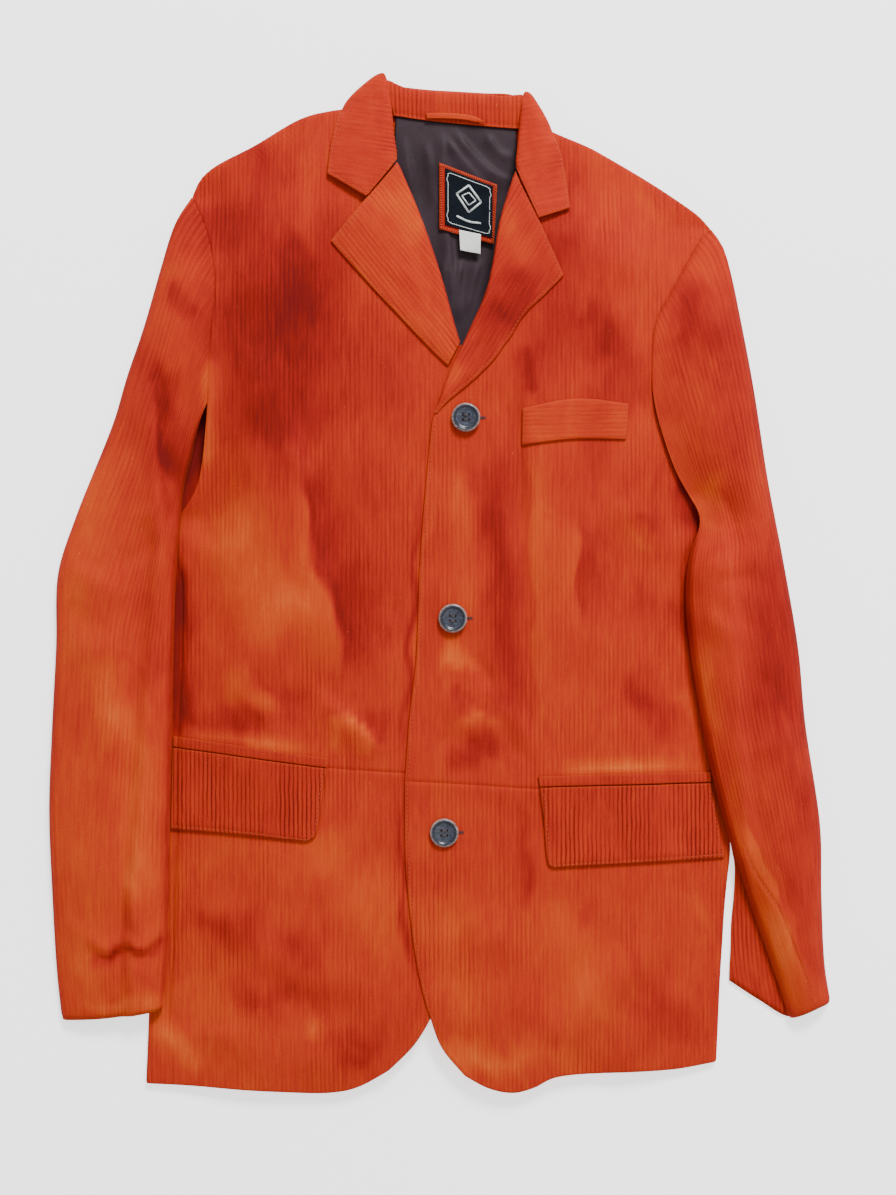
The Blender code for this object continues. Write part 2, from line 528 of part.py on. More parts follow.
def make_collar_stand():
    us, vs = stations(10), np.array([0, 0.35, 0.65, 0.82, 0.95, 1.0])
    seam = smooth(BACK_NECK[2:7])
    roll = smooth([(-41, 392.5), (-28, 386.6), (-12, 384), (25, 382), (49.5, 380), (61.5, 381)])
    x, y = patch(seam, roll, np.array([seam[0], roll[0]]), np.array([seam[-1], roll[-1]]), us, vs)
    cloth("collar_stand", x, y, np.repeat(np.array(STAND_Z)[:, None], len(us), 1), SUEDE, face_up=(1, 5))
    line = smooth([(-11, 363.4), (5, 363.2), (20, 362), (35, 358.6)])
    x = np.array([line[:, 0], line[:, 0]])
    y = np.array([line[:, 1] - LOOP_HALF_WIDTH, line[:, 1] + LOOP_HALF_WIDTH])
    z = np.full(x.shape, STAND_Z[1] + SEAM + LOOP_CLOTH + 0.2)
    cloth("hanger_loop", x[:, ::4], y[:, ::4], z[:, ::4], SUEDE, LOOP_CLOTH)


def lying(name, low, high, front_z, us, vs, thickness=CLOTH, first=None, last=None):
    """A piece that lies on a front: its points are the front's own, moved out."""
    first = np.array([low[0], high[0]]) if first is None else first
    last = np.array([low[-1], high[-1]]) if last is None else last
    x, y = patch(low, high, first, last, us, vs)
    cloth(name, x, y, front_z(x, y) + POCKET_LIE + thickness, SUEDE, thickness, face_up=(1, 1))


def make_pockets():
    outer_us = (2, 5, 9, 14, 20)
    us = stations(6, outer_us, (), 122)
    low = smooth([(-209.4, -130), (-150, -137), (-88, -145)])
    high = smooth([(-209, -121.5), (-150, -129), (-88, -137.5)])
    lying("welt_right", low, high, right_front_z, us, stations(1))
    left_us = stations(6, (), outer_us, 136)
    low = smooth([(77, -159.5), (140, -158.3), (212, -157.5)])
    high = smooth([(76, -151.5), (140, -150), (212, -149.6)])
    lying("welt_left", low, high, left_front_z, left_us, stations(1))
    lying("flap_right", smooth([(-210.8, -194), (-150, -197.5), (-104, -202)]),
          smooth([(-209.6, -130.6), (-150, -137.6), (-88, -145.6)]), right_front_z, us, stations(4),
          FLAP_CLOTH, last=smooth([(-104, -202), (-98, -199), (-95, -192), (-92, -170), (-88, -145.6)]))
    lying("flap_left", smooth([(87, -222), (150, -219), (222.6, -216)]),
          smooth([(77, -160.2), (140, -159), (212, -158.2)]), left_front_z, left_us, stations(4),
          FLAP_CLOTH, first=smooth([(87, -222), (83.5, -219), (82, -210), (80.5, -190), (77, -160.2)]))
    lying("chest_welt", smooth([(62.4, 104.5), (105, 109.5), (144, 109.5)]),
          smooth([(63, 133), (105, 140.6), (146, 137)]), left_front_z, stations(5), stations(2))


LABEL_BORDER = [(-1, 275.5), (42, 263.5), (44.5, 310), (-1, 327)]
LABEL = [(3.6, 278.6), (40.4, 268), (41, 308.6), (3.6, 322.4)]
SIZE_TAG = [(15.2, 257), (31.4, 253), (32.2, 271), (14.4, 275)]


def make_labels():
    def quad(name, corners, top, finish, thickness):
        a, b, c, d = (np.array(corner, float) for corner in corners)
        x, y = patch(np.array([a, b]), np.array([d, c]), np.array([a, d]), np.array([b, c]),
                     stations(2), stations(3))
        cloth(name, x, y, lining_z(x, y) + top, finish, thickness)

    border_top = LABEL_LIE + BORDER_CLOTH
    label_top = border_top + SEAM + LABEL_CLOTH
    quad("label_border", LABEL_BORDER, border_top, SUEDE, BORDER_CLOTH)
    quad("label", LABEL, label_top, LABEL_FACE, LABEL_CLOTH)
    quad("size_tag", SIZE_TAG, label_top + SEAM + LABEL_CLOTH, TAG, LABEL_CLOTH)


# Buttons --------------------------------------------------------------------------------------------------

BUTTONS = [(19.7, 125.8), (9.6, -28.9), (3.0, -195.0)]
# Half section of a button, from the top's middle down the outer side to the underside's middle (r, z).
BUTTON_SECTION = [(0, 2.9), (7.6, 2.9), (8.3, 3.7), (9.6, BUTTON_THICK), (10.8, 3.5), (BUTTON_R, 2.4),
                  (10.6, 1.0), (8.0, 0.2), (5.0, 0.0), (0, 0.0)]


def make_button(number, x, y):
    angles = np.linspace(0, 2 * math.pi, 24, endpoint=False)
    seat = BUTTON_R / 2
    z = float(left_front_z(x + seat * np.cos(angles), y + seat * np.sin(angles)).max()) + SEAM
    mesh = bpy.data.meshes.new(f"button_{number}")
    section = bmesh.new()
    points = [section.verts.new((r * MM, 0, h * MM)) for r, h in BUTTON_SECTION]
    for upper, lower in zip(points[:-1], points[1:]):
        section.edges.new((upper, lower))
    section.to_mesh(mesh)
    section.free()
    made = bpy.data.objects.new(f"button_{number}", mesh)
    GARMENT.objects.link(made)
    mesh.materials.append(HORN)
    made.location = ((x - CENTRE_X) * MM, (y - CENTRE_Y) * MM, z * MM)
    turn = made.modifiers.new("turn", "SCREW")
    turn.steps = turn.render_steps = 28
    turn.use_merge_vertices = True
    turn.merge_threshold = 0.00005
    turn.use_smooth_shade = True
    for corner in range(4):
        angle = math.radians(45 + 90 * corner)
        bpy.ops.mesh.primitive_cylinder_add(
            vertices=10, radius=BUTTON_HOLE_R * MM, depth=3 * BUTTON_THICK * MM,
            location=((x - CENTRE_X + BUTTON_HOLE_OUT * math.cos(angle)) * MM,
                      (y - CENTRE_Y + BUTTON_HOLE_OUT * math.sin(angle)) * MM, z * MM))
        cutter = bpy.context.object
        cutter.name = f"button_{number}_hole_{corner + 1}"
        for owner in list(cutter.users_collection):
            owner.objects.unlink(cutter)
        CUTTERS.objects.link(cutter)
        cutter.hide_render = True
        cutter.display_type = "WIRE"
        cut = made.modifiers.new(f"hole_{corner + 1}", "BOOLEAN")
        cut.operation = "DIFFERENCE"
        cut.object = cutter


clear_scene()
GARMENT, CUTTERS = collection("suede_jacket"), collection("cutters")
SUEDE = material("ribbed_suede", (0.55, 0.09, 0.025), 0.95)
LINING = material("satin_lining", (0.052, 0.03, 0.038), 0.45)
LABEL_FACE = material("label_leather", (0.012, 0.016, 0.022), 0.6)
TAG = material("tag_ribbon", (0.75, 0.75, 0.72), 0.8)
HORN = material("button_resin", (0.07, 0.085, 0.12), 0.35)

make_back()
make_lining()
make_fronts()
make_sleeves()
make_lapels()
make_collar_fall()
make_collar_stand()
make_pockets()
make_labels()
for number, (button_x, button_y) in enumerate(BUTTONS, 1):
    make_button(number, button_x, button_y)
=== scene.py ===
"""The looks of a ribbed suede jacket that lies flat on its back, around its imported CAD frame.

Tables hold millimetres in the jacket's own plane; meshes hold metres. "right" and "left" are the wearer's.
Each cut piece is a fine grid on the same outline and height rule as its CAD solid, with ribs and creases.
"""

import json
import math
import random

import bmesh
import bpy
import numpy as np
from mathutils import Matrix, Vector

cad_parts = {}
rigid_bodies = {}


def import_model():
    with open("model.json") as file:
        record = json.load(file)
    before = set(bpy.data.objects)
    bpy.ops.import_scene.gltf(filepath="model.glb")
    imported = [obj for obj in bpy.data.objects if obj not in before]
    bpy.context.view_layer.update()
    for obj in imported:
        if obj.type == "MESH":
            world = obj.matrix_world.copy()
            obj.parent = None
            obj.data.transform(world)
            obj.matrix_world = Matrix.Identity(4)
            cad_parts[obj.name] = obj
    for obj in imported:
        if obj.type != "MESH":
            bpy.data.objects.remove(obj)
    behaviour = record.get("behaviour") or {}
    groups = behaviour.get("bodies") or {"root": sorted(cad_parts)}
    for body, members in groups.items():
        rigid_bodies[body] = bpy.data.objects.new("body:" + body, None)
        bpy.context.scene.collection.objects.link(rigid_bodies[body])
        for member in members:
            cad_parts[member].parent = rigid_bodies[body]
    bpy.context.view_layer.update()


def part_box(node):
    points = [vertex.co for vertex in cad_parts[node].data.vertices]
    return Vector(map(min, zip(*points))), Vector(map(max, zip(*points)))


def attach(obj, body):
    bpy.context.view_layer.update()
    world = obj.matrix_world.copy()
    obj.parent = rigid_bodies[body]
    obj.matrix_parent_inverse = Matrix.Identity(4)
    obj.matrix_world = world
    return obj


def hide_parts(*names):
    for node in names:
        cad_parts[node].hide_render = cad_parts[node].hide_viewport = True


MM = 0.001

# Sizes ---

CLOTH, FLAP_CLOTH, SATIN = 1.8, 2.4, 1.0  # walls of the suede, of a doubled flap and of the lining
BORDER_CLOTH, LABEL_CLOTH, LOOP_CLOTH = 1.2, 1.0, 1.2
SEAM, ARM_SEAM = 0.02, 0.1  # gaps at the body's seams and at the armholes
LIE, POCKET_LIE = 0.5, 0.7  # gap under a piece that lies on another, and under the pockets' pieces
OVER = CLOTH + LIE  # rise of one layer's face over the face of the next
BACK_TOP = CLOTH
EDGE_Z = BACK_TOP + 1.85  # a front's face where it's sewn to the back
PRESSED_Z = 5.0  # a front's face where a sleeve lies on it
SLEEVE_LIFT = PRESSED_Z + 2.5 * LIE
ARMHOLE_RISE, NECK_RAISE, SLEEVE_LOFT = 15.0, 2.4, 21.0
SPARE = 3.0  # a front stays pressed this far past the sleeve on it
ROLL_INSET = CLOTH + 2.2  # a front stops this far inside its roll line
RIB_PITCH, RIB_HEIGHT = 3.4, 0.22
TURN_DROP, TURN_WAY = 0.95, 2.6  # a turned edge's drop, and how far in it reaches
SEAM_RIDGE, SEAM_DIP, STITCH_DIP, STITCH_PUFF = 0.2, 0.4, 0.32, 0.25  # heights beside seams and stitches
STITCH_INSET, STITCH_STEP, STITCH_LENGTH, THREAD_R = 2.4, 3.4, 2.1, 0.24
ACROSS, ALONG = 0.8, 4.3  # grid steps across and along the ribs
LEFT_PIT, RIGHT_PIT = 0.46, 0.36  # share of the armhole below the sleeve's head
PIT_SHARE = 0.58  # the part of a sleeve's length that lies below the pit
INNER_LAP = 1.2  # how far a sleeve's inner edge laps over the body's side
SLEEVE_RIBS, LAPEL_RIBS = 0.8, 0.42
UNDER_RIBS = {"right": 0.5, "left": 1.0}

# Outlines, each from its low or inner end upward or outward (x, y).
RIGHT_SIDE = [(-231, -394), (-229, -341), (-228, -300), (-223, -200), (-216.5, -100), (-212, -50),
              (-208.5, 0), (-205, 50)]
RIGHT_ARMHOLE = [(-205, 50), (-190, 75), (-182, 126), (-179, 187), (-175.5, 225), (-179, 260),
                 (-187, 285.5), (-195, 301)]
RIGHT_BACK_ARMHOLE = [(-207, 50), (-202, 85), (-192.5, 120), (-184.5, 150), (-178, 200), (-175.5, 225),
                      (-179, 260), (-187, 285.5), (-195, 301)]
RIGHT_SHOULDER = [(-195, 301), (-189, 314), (-179, 324), (-145.5, 342), (-112, 361.5), (-88, 368),
                  (-62, 371)]
RIGHT_ROLL = [(17, 183), (11.5, 198), (1, 236), (-15, 283), (-33, 326)]
RIGHT_NECK = [(-33, 326), (-36, 345), (-47, 362), (-62, 371)]
RIGHT_HIDDEN_EDGE = [(36, -150), (38, -30), (44, 110), (32, 160), (17, 183)]
RIGHT_LOWER_EDGE = [(-40, -382), (-21, -363), (-8, -342), (5, -310), (15, -275), (24, -230), (30, -190),
                    (36, -150)]
RIGHT_HEM = [(-231, -394), (-191, -395.5), (-134, -399), (-83, -400), (-64, -395.5), (-40, -382)]
RIGHT_WAIST = [(-219, -130), (-210, -130.5), (-150, -137), (-88, -145), (-28, -149), (36, -150)]
LEFT_SIDE = [(216.5, -377), (220, -303), (224, -244), (227.4, -209), (223, -158), (219, -98), (215, -31),
             (211, 20), (208, 50)]
LEFT_ARMHOLE = [(208, 50), (188, 79), (176, 113), (166, 139), (164, 171), (167, 201), (178, 222),
                (193, 250), (205, 269.5), (212, 276)]
LEFT_SHOULDER = [(75, 357), (91, 350), (120, 338), (154, 319), (184.5, 299.5), (203, 286), (212, 276)]
LEFT_FRONT_EDGE = [(-27.7, -155), (-24, -104), (-19, -62), (-16, 14), (-11, 78), (-8, 110), (-6, 125.6)]
LEFT_ROLL = [(-6, 125.6), (7.4, 163), (17, 183), (35, 224), (40, 245), (46, 280), (58, 319)]
LEFT_NECK = [(58, 319), (62, 342), (75, 357)]
LEFT_LOWER_EDGE = [(19, -386), (1, -364), (-8, -340), (-15, -315), (-21, -283), (-25, -246), (-27, -225),
                   (-27.7, -191), (-27.7, -155)]
LEFT_HEM = [(19, -386), (38, -396), (57, -399.4), (73, -395.5), (88.5, -388), (127.5, -384.5),
            (185.6, -382), (216.5, -377)]
LEFT_WAIST = [(-27.7, -155), (24, -158), (76, -161), (150, -159), (223, -158)]
BACK_HEM = [(-231, -394), (-120, -362), (-8, -335), (110, -355), (216.5, -377)]
BACK_NECK = [(-62, 371), (-50, 367), (-35, 364), (-15, 361), (12, 358), (40, 355.5), (59, 354), (75, 357)]
RIGHT_SLEEVE_OUTER = [(-297, -344), (-301, -307), (-305, -237), (-307, -180), (-305, -120), (-301.5, -50),
                      (-300, 6), (-287, 48), (-256, 126), (-246, 160), (-233, 198), (-219, 246),
                      (-208, 279), (-195, 301)]
RIGHT_SLEEVE_INNER = [(-218, -335), (-214, -284), (-213, -250), (-211.5, -185), (-209.4, -82), (-207.4, -4),
                      (-204.4, 44), (-202.4, 70), (-196.6, 93), (-190, 119), (-183.5, 138)]
RIGHT_UNDER_INNER = [(-218, -335), (-214, -284), (-213, -250), (-211.5, -185), (-209.4, -82), (-208, -4),
                     (-205.5, 49)]
RIGHT_CUFF = [(-297, -344), (-261, -341), (-218, -335)]
LEFT_SLEEVE_OUTER = [(306, -330), (301.5, -301), (299, -246), (298, -193), (286, -110), (281, -55), (269, 16),
                     (257, 79), (246, 150), (236, 203), (229, 236), (221, 262), (212, 276)]
LEFT_SLEEVE_INNER = [(275, -343), (258.6, -294), (244, -253.5), (227.4, -204), (213, -150), (203, -98),
                     (193.4, -31), (192.4, 0), (193.6, 14), (197, 26), (202, 37), (208.5, 50)]
LEFT_UNDER_INNER = [(227, -314), (229, -265), (231, -228), (226, -200), (213, -150), (203, -98),
                    (194, -31), (193.5, 0), (196, 16), (203, 30), (211, 42), (208.5, 50)]
LEFT_CUFF = [(306, -330), (294.5, -333.5), (275, -343)]
LEFT_UNDER_CUFF = [(306, -330), (292, -336), (275, -342.5), (250, -329), (227, -314)]
RIGHT_OVERLAP = [(-352, 0), (-345, 13.5), (-284, 15.5), (-185, 13), (-82, 8.5), (-4, 4), (22, 0)]
LEFT_OVERLAP = [(-212, 0), (-204, 3), (-150, 12.5), (-98, 18.5), (-31, 23.5), (0, 21), (16, 17.5), (30, 10),
                (42, 3), (50, 0)]
CROWN = [(-400, 10.5), (-345, 14), (-160, 18), (0, 22), (150, 24), (250, 22), (320, 18), (380, 15)]

# Soft ridges (or troughs, below 0) of the fronts: its line, width to the left and right of its way, height.
FRONT_FOLDS = [
    ([(-122, 150), (-105, 69), (-97.6, 20), (-87, -3), (-80.6, -31), (-76.8, -63), (-76.4, -92)],
     5.5, 34, 5.6),
    ([(-96, 120), (-84, 60), (-70, 10), (-62, -60)], 12, 16, -1.6),
    ([(-100, -84), (-78.6, -101), (-67.4, -111), (-48.4, -126), (-34, -134)], 4.5, 13, 3.6),
    ([(-73, -1), (-46, -4), (-18, -14)], 4, 6, 0.9),
    ([(-64, -23), (-46, -30), (-27, -39)], 4, 6, 1.0),
    ([(-186, -84), (-164, -98), (-130, -122)], 9, 16, -2.4),
    ([(-150, -66), (-120, -88), (-92, -104)], 10, 14, -1.6),
    ([(-194, 70), (-172, 40), (-160, 0), (-164, -50)], 16, 18, 1.8),
    ([(-176, 190), (-150, 160), (-128, 120)], 16, 18, 1.6),
    ([(-178, 250), (-140, 226), (-106, 214)], 14, 16, 1.5),
    ([(-90, 250), (-80, 200), (-86, 150)], 14, 16, -1.4),
    ([(-222, -236), (-150, -290), (-70, -330)], 20, 24, 2.2),
    ([(-200, -340), (-130, -372), (-60, -372)], 16, 18, 1.6),
    ([(-200, -262), (-120, -318), (-50, -352)], 12, 14, -1.8),
    ([(52, 186), (58, 120), (62, 55), (66, -40), (69, -140)], 7, 19, -3.2),
    ([(40, 150), (46, 90), (50, 20), (52, -60)], 10, 8, 1.5),
    ([(84, 175), (92, 90), (90, 0), (94, -90)], 16, 14, 1.4),
    ([(106, 104), (107, 20), (107, -60)], 1.6, 1.6, -0.6),
    ([(24, -56), (33, -68), (44, -84)], 4, 7, -2.2),
    ([(1, 96), (-4, 40), (-9, -60)], 1.6, 1.6, -0.5),
    ([(44, -84), (50, -100), (66, -118), (72, -140)], 6, 6, 1.6),
    ([(52, -124), (60, -132), (70, -141)], 2.2, 3, -1.4),
    ([(-4, -84), (20, -104), (56, -114)], 8, 10, 1.5),
    ([(-10, -128), (10, -122), (40, -130)], 5, 7, -1.2),
    ([(122, 60), (150, 50), (176, 20)], 9, 12, 1.6),
    ([(186, 80), (168, 60), (150, 56)], 8, 10, -1.4),
    ([(134, -84), (160, -90), (186, -116)], 14, 14, -1.2),
    ([(150, -26), (176, -20), (204, -30)], 9, 12, 1.3),
    ([(93, -374), (122, -330), (160, -290), (202, -249)], 18, 14, 2.8),
    ([(124, -386), (160, -350), (212, -308)], 12, 14, 2.0),
    ([(84, -352), (116, -300), (150, -262)], 12, 12, -1.8),
    ([(30, -250), (60, -300), (66, -350)], 16, 16, 1.6),
    ([(6, -236), (16, -290), (12, -340)], 10, 12, -1.2),
    ([(178, 215), (150, 205), (120, 214)], 12, 14, 1.3),
    ([(150, 318), (140, 270), (116, 220)], 16, 16, 1.2),
]
LEFT_SLEEVE_SEAM = [(228, -190), (246, -229), (262, -254), (278, -294), (292, -330)]
SLEEVE_FOLDS = [
    ([(-300, 22), (-272, 2), (-236, -14)], 8, 13, 2.8),
    ([(-301, -14), (-276, -30), (-250, -38)], 8, 10, -1.9),
    ([(-300, -40), (-272, -54), (-240, -52)], 8, 12, 1.4),
    ([(-212, 40), (-232, 20), (-256, 14)], 8, 8, -2.2),
    ([(-208, 64), (-226, 50), (-244, 48)], 7, 8, 1.7),
    ([(-299, -262), (-280, -274), (-262, -276)], 6, 11, 1.5),
    ([(-188, 130), (-214, 152), (-236, 164)], 9, 10, -2.1),
    ([(-196, 240), (-206, 190), (-222, 150), (-244, 90)], 10, 14, 1.9),
    ([(-250, 120), (-262, 40), (-268, -60), (-262, -170)], 17, 12, 1.6),
    ([(-240, -60), (-234, -140), (-240, -220)], 10, 14, -1.5),
    ([(196, 12), (222, 24), (246, 30)], 8, 10, 2.6),
    ([(202, -2), (226, 2), (252, 4)], 7, 8, -1.9),
    ([(194, -18), (220, -38), (252, -48)], 8, 12, 2.2),
    ([(286, -110), (262, -126), (236, -128)], 9, 12, 1.8),
    ([(240, -72), (262, -84), (280, -84)], 8, 9, -1.3),
    ([(298, -196), (280, -150), (262, -100)], 12, 9, 1.9),
    (LEFT_SLEEVE_SEAM, 1.1, 1.1, -0.9),
    (LEFT_SLEEVE_SEAM, 5, 9, 1.2),
    ([(-221, 186), (-217, 140), (-215, 110), (-211, 72), (-207, 57)], 11, 3, -4.2),
    ([(-228, 150), (-224, 110), (-220, 70), (-214, 40)], 5, 10, 2.2),
    ([(-240, -226), (-238, -250), (-234, -277)], 5, 7, 2.4),
    ([(-280, -276), (-258, -287), (-242, -280), (-232, -286), (-222, -279), (-211, -262)], 8, 2.5, 3.0),
    ([(-280, -281), (-258, -292), (-242, -285), (-232, -291), (-222, -284), (-211, -268)], 2.5, 9, -2.0),
    ([(298, -240), (284, -262), (268, -268)], 7, 9, 1.2),
    ([(204, 236), (216, 190), (214, 140)], 14, 14, 1.8),
    ([(190, 215), (196, 170), (190, 120)], 9, 9, -1.4),
    ([(230, 190), (238, 120), (250, 40)], 13, 13, 1.5),
]
# Strokes of tone: the nap's own lighter and darker patches, and painted light and shade along folds, creases
# and edges: its line, width to the left and right of its way, above 0 lighter and below 0 darker.
NAP_AND_SHADE_STROKES = [
    ([(-136, 310), (-114, 250), (-98, 170)], 40, 36, -0.45),
    ([(-176, -84), (-150, -93), (-120, -98)], 16, 16, 0.6),
    ([(-128, -270), (-110, -288), (-90, -300)], 20, 20, -0.45),
    ([(-262, -40), (-258, -93), (-250, -140)], 18, 16, 0.35),
    ([(206, 240), (204, 196), (206, 150)], 18, 16, -0.4),
    ([(246, -40), (252, -93), (256, -150)], 20, 20, -0.4),
    ([(-152, 270), (-124, 160), (-104, 70)], 74, 74, -0.42),
    ([(-70, 120), (-62, 20), (-56, -80)], 36, 36, -0.35),
    ([(-214, -186), (-150, -330), (-60, -350)], 60, 60, 0.2),
    # Painted light and shade on the two sides of the long fold on the right chest.
    ([(-108, 88), (-98, 20), (-87, -3), (-81, -31), (-77, -63), (-77, -90)], 2, 26, 0.8),
    ([(-108, 104), (-97, 20), (-86, -3), (-80, -31), (-76, -63), (-75, -90)], 24, 2, -0.8),
    ([(-176, 76), (-156, 30), (-130, -20), (-112, -60)], 28, 26, 0.75),
    ([(-178, 190), (-181, 140), (-186, 100), (-196, 74)], 9, 3, 0.9),
    ([(-150, 150), (-126, 116), (-106, 84)], 12, 14, -0.5),
    ([(-176, 262), (-150, 190), (-120, 130), (-96, 96)], 44, 30, -0.55),
    ([(-112, 280), (-106, 210), (-84, 150)], 26, 26, -0.5),
    # Painted shadow cast by the left front's edge on the right front, down to the hem.
    ([(-12, 112), (-16, 60), (-20, 0), (-25, -80), (-31, -150)], 3.4, 3.4, -1.0),
    ([(-31, -160), (-30, -230), (-26, -280), (-14, -330)], 3.4, 3.4, -0.8),
    ([(108, 220), (124, 196), (130, 170)], 16, 16, -0.6),
    ([(-264, -50), (-258, -93), (-250, -130)], 16, 16, 0.4),
    ([(-100, 336), (-104, 290), (-110, 250)], 7, 12, 0.35),
    ([(-80, 320), (-84, 280), (-80, 230)], 12, 16, -0.2),
    ([(-204, 246), (-156, 296), (-104, 344)], 28, 28, -0.8),
    ([(-60, 226), (-36, 160), (-28, 110)], 18, 20, -0.2),
    ([(-124, 112), (-118, 50), (-112, -14)], 12, 12, -0.45),
    # Painted light and shade on the two sides of the crease above the right pocket.
    ([(-80, -96), (-66, -108), (-48, -124)], 2.5, 16, 0.9),
    ([(-70, -100), (-50, -112), (-36, -122)], 12, 2.5, -0.5),
    ([(-84, -104), (-83, -140)], 5, 6, 0.6),
    # Painted shade in the troughs above the right pocket.
    ([(-184, -88), (-162, -100), (-124, -122)], 9, 12, -0.9),
    ([(-214, -106), (-182, -116), (-136, -122)], 12, 10, -0.7),
    ([(-150, -66), (-120, -88), (-96, -104)], 8, 10, -0.6),
    ([(-216, -216), (-120, -206), (-60, -200)], 16, 12, 0.3),
    ([(-214, -258), (-170, -270), (-126, -272)], 14, 14, -0.6),
    ([(-170, -312), (-126, -326), (-84, -330)], 14, 14, -0.6),
    ([(-230, -360), (-206, -366), (-184, -384)], 12, 14, 0.7),
    ([(-232, -312), (-222, -346), (-196, -372)], 14, 14, 0.6),
    ([(-40, -370), (50, -372), (140, -366)], 14, 14, 0.8),
    ([(-100, -334), (-98, -352), (-96, -370)], 7, 9, 0.7),
    ([(-88, -350), (-70, -364), (-46, -376)], 12, 12, -0.65),
    ([(-120, -196), (-70, -230), (-20, -300)], 24, 24, 0.45),
    ([(-206, -300), (-180, -330), (-150, -350)], 10, 12, 0.4),
    ([(44, 130), (42, 40), (50, -30), (62, -134)], 14, 15, -0.9),
    ([(72, 130), (72, 40), (74, -40), (76, -134)], 14, 2.5, 0.5),
    ([(12, 96), (20, 30), (26, -46)], 16, 10, 0.45),
    ([(-10, 110), (-16, 10), (-24, -120)], 5, 7, 0.5),
    # Painted light and shade on the wrinkles at the left front's waist.
    ([(-4, -64), (16, -66), (32, -68)], 14, 3, 0.9),
    ([(2, -84), (22, -96), (52, -100)], 3, 9, -0.5),
    ([(4, -112), (30, -108), (54, -112)], 7, 7, 0.75),
    ([(0, -126), (26, -132), (56, -128)], 6, 8, -0.7),
    # Painted light and shade on the two sides of a narrow crease on the left front.
    ([(104, 58), (105, 0), (105, -48)], 1.2, 12, 0.3),
    ([(108, 62), (108, 0), (109, -48)], 20, 1.2, -0.5),
    # Painted light and shade on a soft fold on the left front.
    ([(150, 56), (158, 46), (176, 50)], 9, 4, -0.5),
    ([(140, 34), (156, 32), (172, 26)], 6, 8, 0.5),
    ([(140, -2), (172, -26), (200, -16)], 10, 14, -0.35),
    # Painted shade in a soft dent above the left pocket.
    ([(130, -76), (160, -92), (186, -124)], 14, 12, -0.75),
    ([(176, -84), (190, -100), (198, -120)], 8, 6, 0.4),
    ([(80, 116), (88, 200), (100, 306)], 26, 30, -0.5),
    ([(62, 206), (84, 266), (104, 330)], 22, 22, -0.5),
    ([(126, 186), (123, 120), (120, 50)], 12, 12, -0.35),
    ([(120, 320), (160, 280), (176, 230)], 20, 18, 0.15),
    ([(120, 200), (140, 170), (152, 120)], 14, 18, -0.55),
    ([(66, 190), (70, 160), (64, 140)], 6, 9, -0.8),
    ([(-6, -226), (10, -300), (30, -360)], 22, 20, 0.5),
    ([(60, -240), (110, -300), (100, -370)], 24, 24, 0.6),
    ([(110, -240), (160, -262), (206, -300)], 10, 16, 0.12),
    ([(150, -320), (190, -350), (206, -370)], 14, 14, -0.45),
    ([(180, -240), (200, -262), (214, -300)], 8, 10, 0.35),
    ([(66, -172), (66, -210), (70, -260)], 5, 7, -0.6),
    ([(-262, 120), (-280, 20), (-286, -90)], 22, 22, 0.55),
    ([(-206, 260), (-216, 210), (-226, 170)], 12, 16, 0.35),
    ([(-216, 226), (-200, 216), (-184, 210)], 9, 11, -0.6),
    ([(-216, 200), (-206, 170), (-196, 150)], 12, 10, 0.2),
    ([(-228, 226), (-222, 150), (-216, 50)], 10, 14, -0.45),
    # Painted shade along the trough by the right sleeve's inner edge.
    ([(-224, 168), (-218, 130), (-214, 100), (-209, 62)], 16, 2.5, -0.9),
    ([(-226, 176), (-210, 160), (-196, 160)], 9, 10, -0.5),
    ([(-272, -70), (-282, -200), (-270, -380)], 26, 22, 0.4),
    ([(-296, -270), (-262, -326), (-230, -350)], 14, 14, 0.3),
    ([(-236, -80), (-234, -160), (-236, -240), (-236, -272)], 16, 12, 0.7),
    ([(-230, 0), (-222, -40), (-218, -90)], 10, 12, -0.35),
    # Painted shade in the wrinkle above the right cuff.
    ([(-274, -284), (-258, -291), (-244, -286)], 5, 7, -0.9),
    ([(-242, -284), (-232, -290), (-222, -283), (-213, -268)], 2, 5, -0.9),
    ([(-290, -330), (-260, -328), (-224, -322)], 5, 7, 0.5),
    ([(200, 250), (190, 200), (182, 160)], 12, 12, -0.55),
    ([(216, 226), (228, 150), (230, 64)], 16, 16, -0.5),
    ([(222, 100), (206, 60), (214, 30)], 9, 9, 0.5),
    ([(200, -30), (206, -80), (218, -140)], 7, 9, 0.6),
    ([(246, 60), (262, -60), (276, -150)], 26, 22, -0.75),
    ([(230, -160), (244, -210), (268, -270), (286, -326)], 2, 14, 0.75),
    ([(252, -180), (268, -240), (294, -326)], 16, 2, -0.35),
    ([(270, -120), (282, -190), (290, -250)], 14, 14, -0.45),
    ([(248, -236), (262, -304), (272, -350)], 12, 14, 0.65),
]
# The same for the body alone: painted shade along its sides, where the sleeves shade it.
BODY_SIDE_SHADE_STROKES = [
    ([(-206, 30), (-200, -60), (-203, -104), (-206, -160)], 10, 14, -0.9),
    ([(196, 10), (202, -60), (206, -130)], 8, 8, -0.2),
    ([(-204, 36), (-210, -40), (-214, -90), (-217, -128)], 8, 8, -1.1),
    ([(-220, -160), (-226, -280), (-229, -380)], 7, 7, -0.6),
    ([(204, 70), (203, 20), (196, -20), (206, -90), (216, -140)], 7, 12, -0.6),
    ([(176, 120), (190, 90), (204, 60)], 10, 10, -0.8),
]
# Straight strokes, with no waver: the cloth's fold above each pocket, lighter from worn nap and a painted
# highlight, and painted shade in the hollow at the left pit.
STRAIGHT_TONE_AND_SHADE = [
    ([(76, -147), (140, -145.5), (212, -145)], 7, 4, 1.1),
    ([(-208, -118.5), (-150, -125.5), (-88, -134.5)], 7, 4, 1.1),
    ([(188, 84), (198, 66), (205, 50), (201, 34)], 3, 13, -1.8),
]
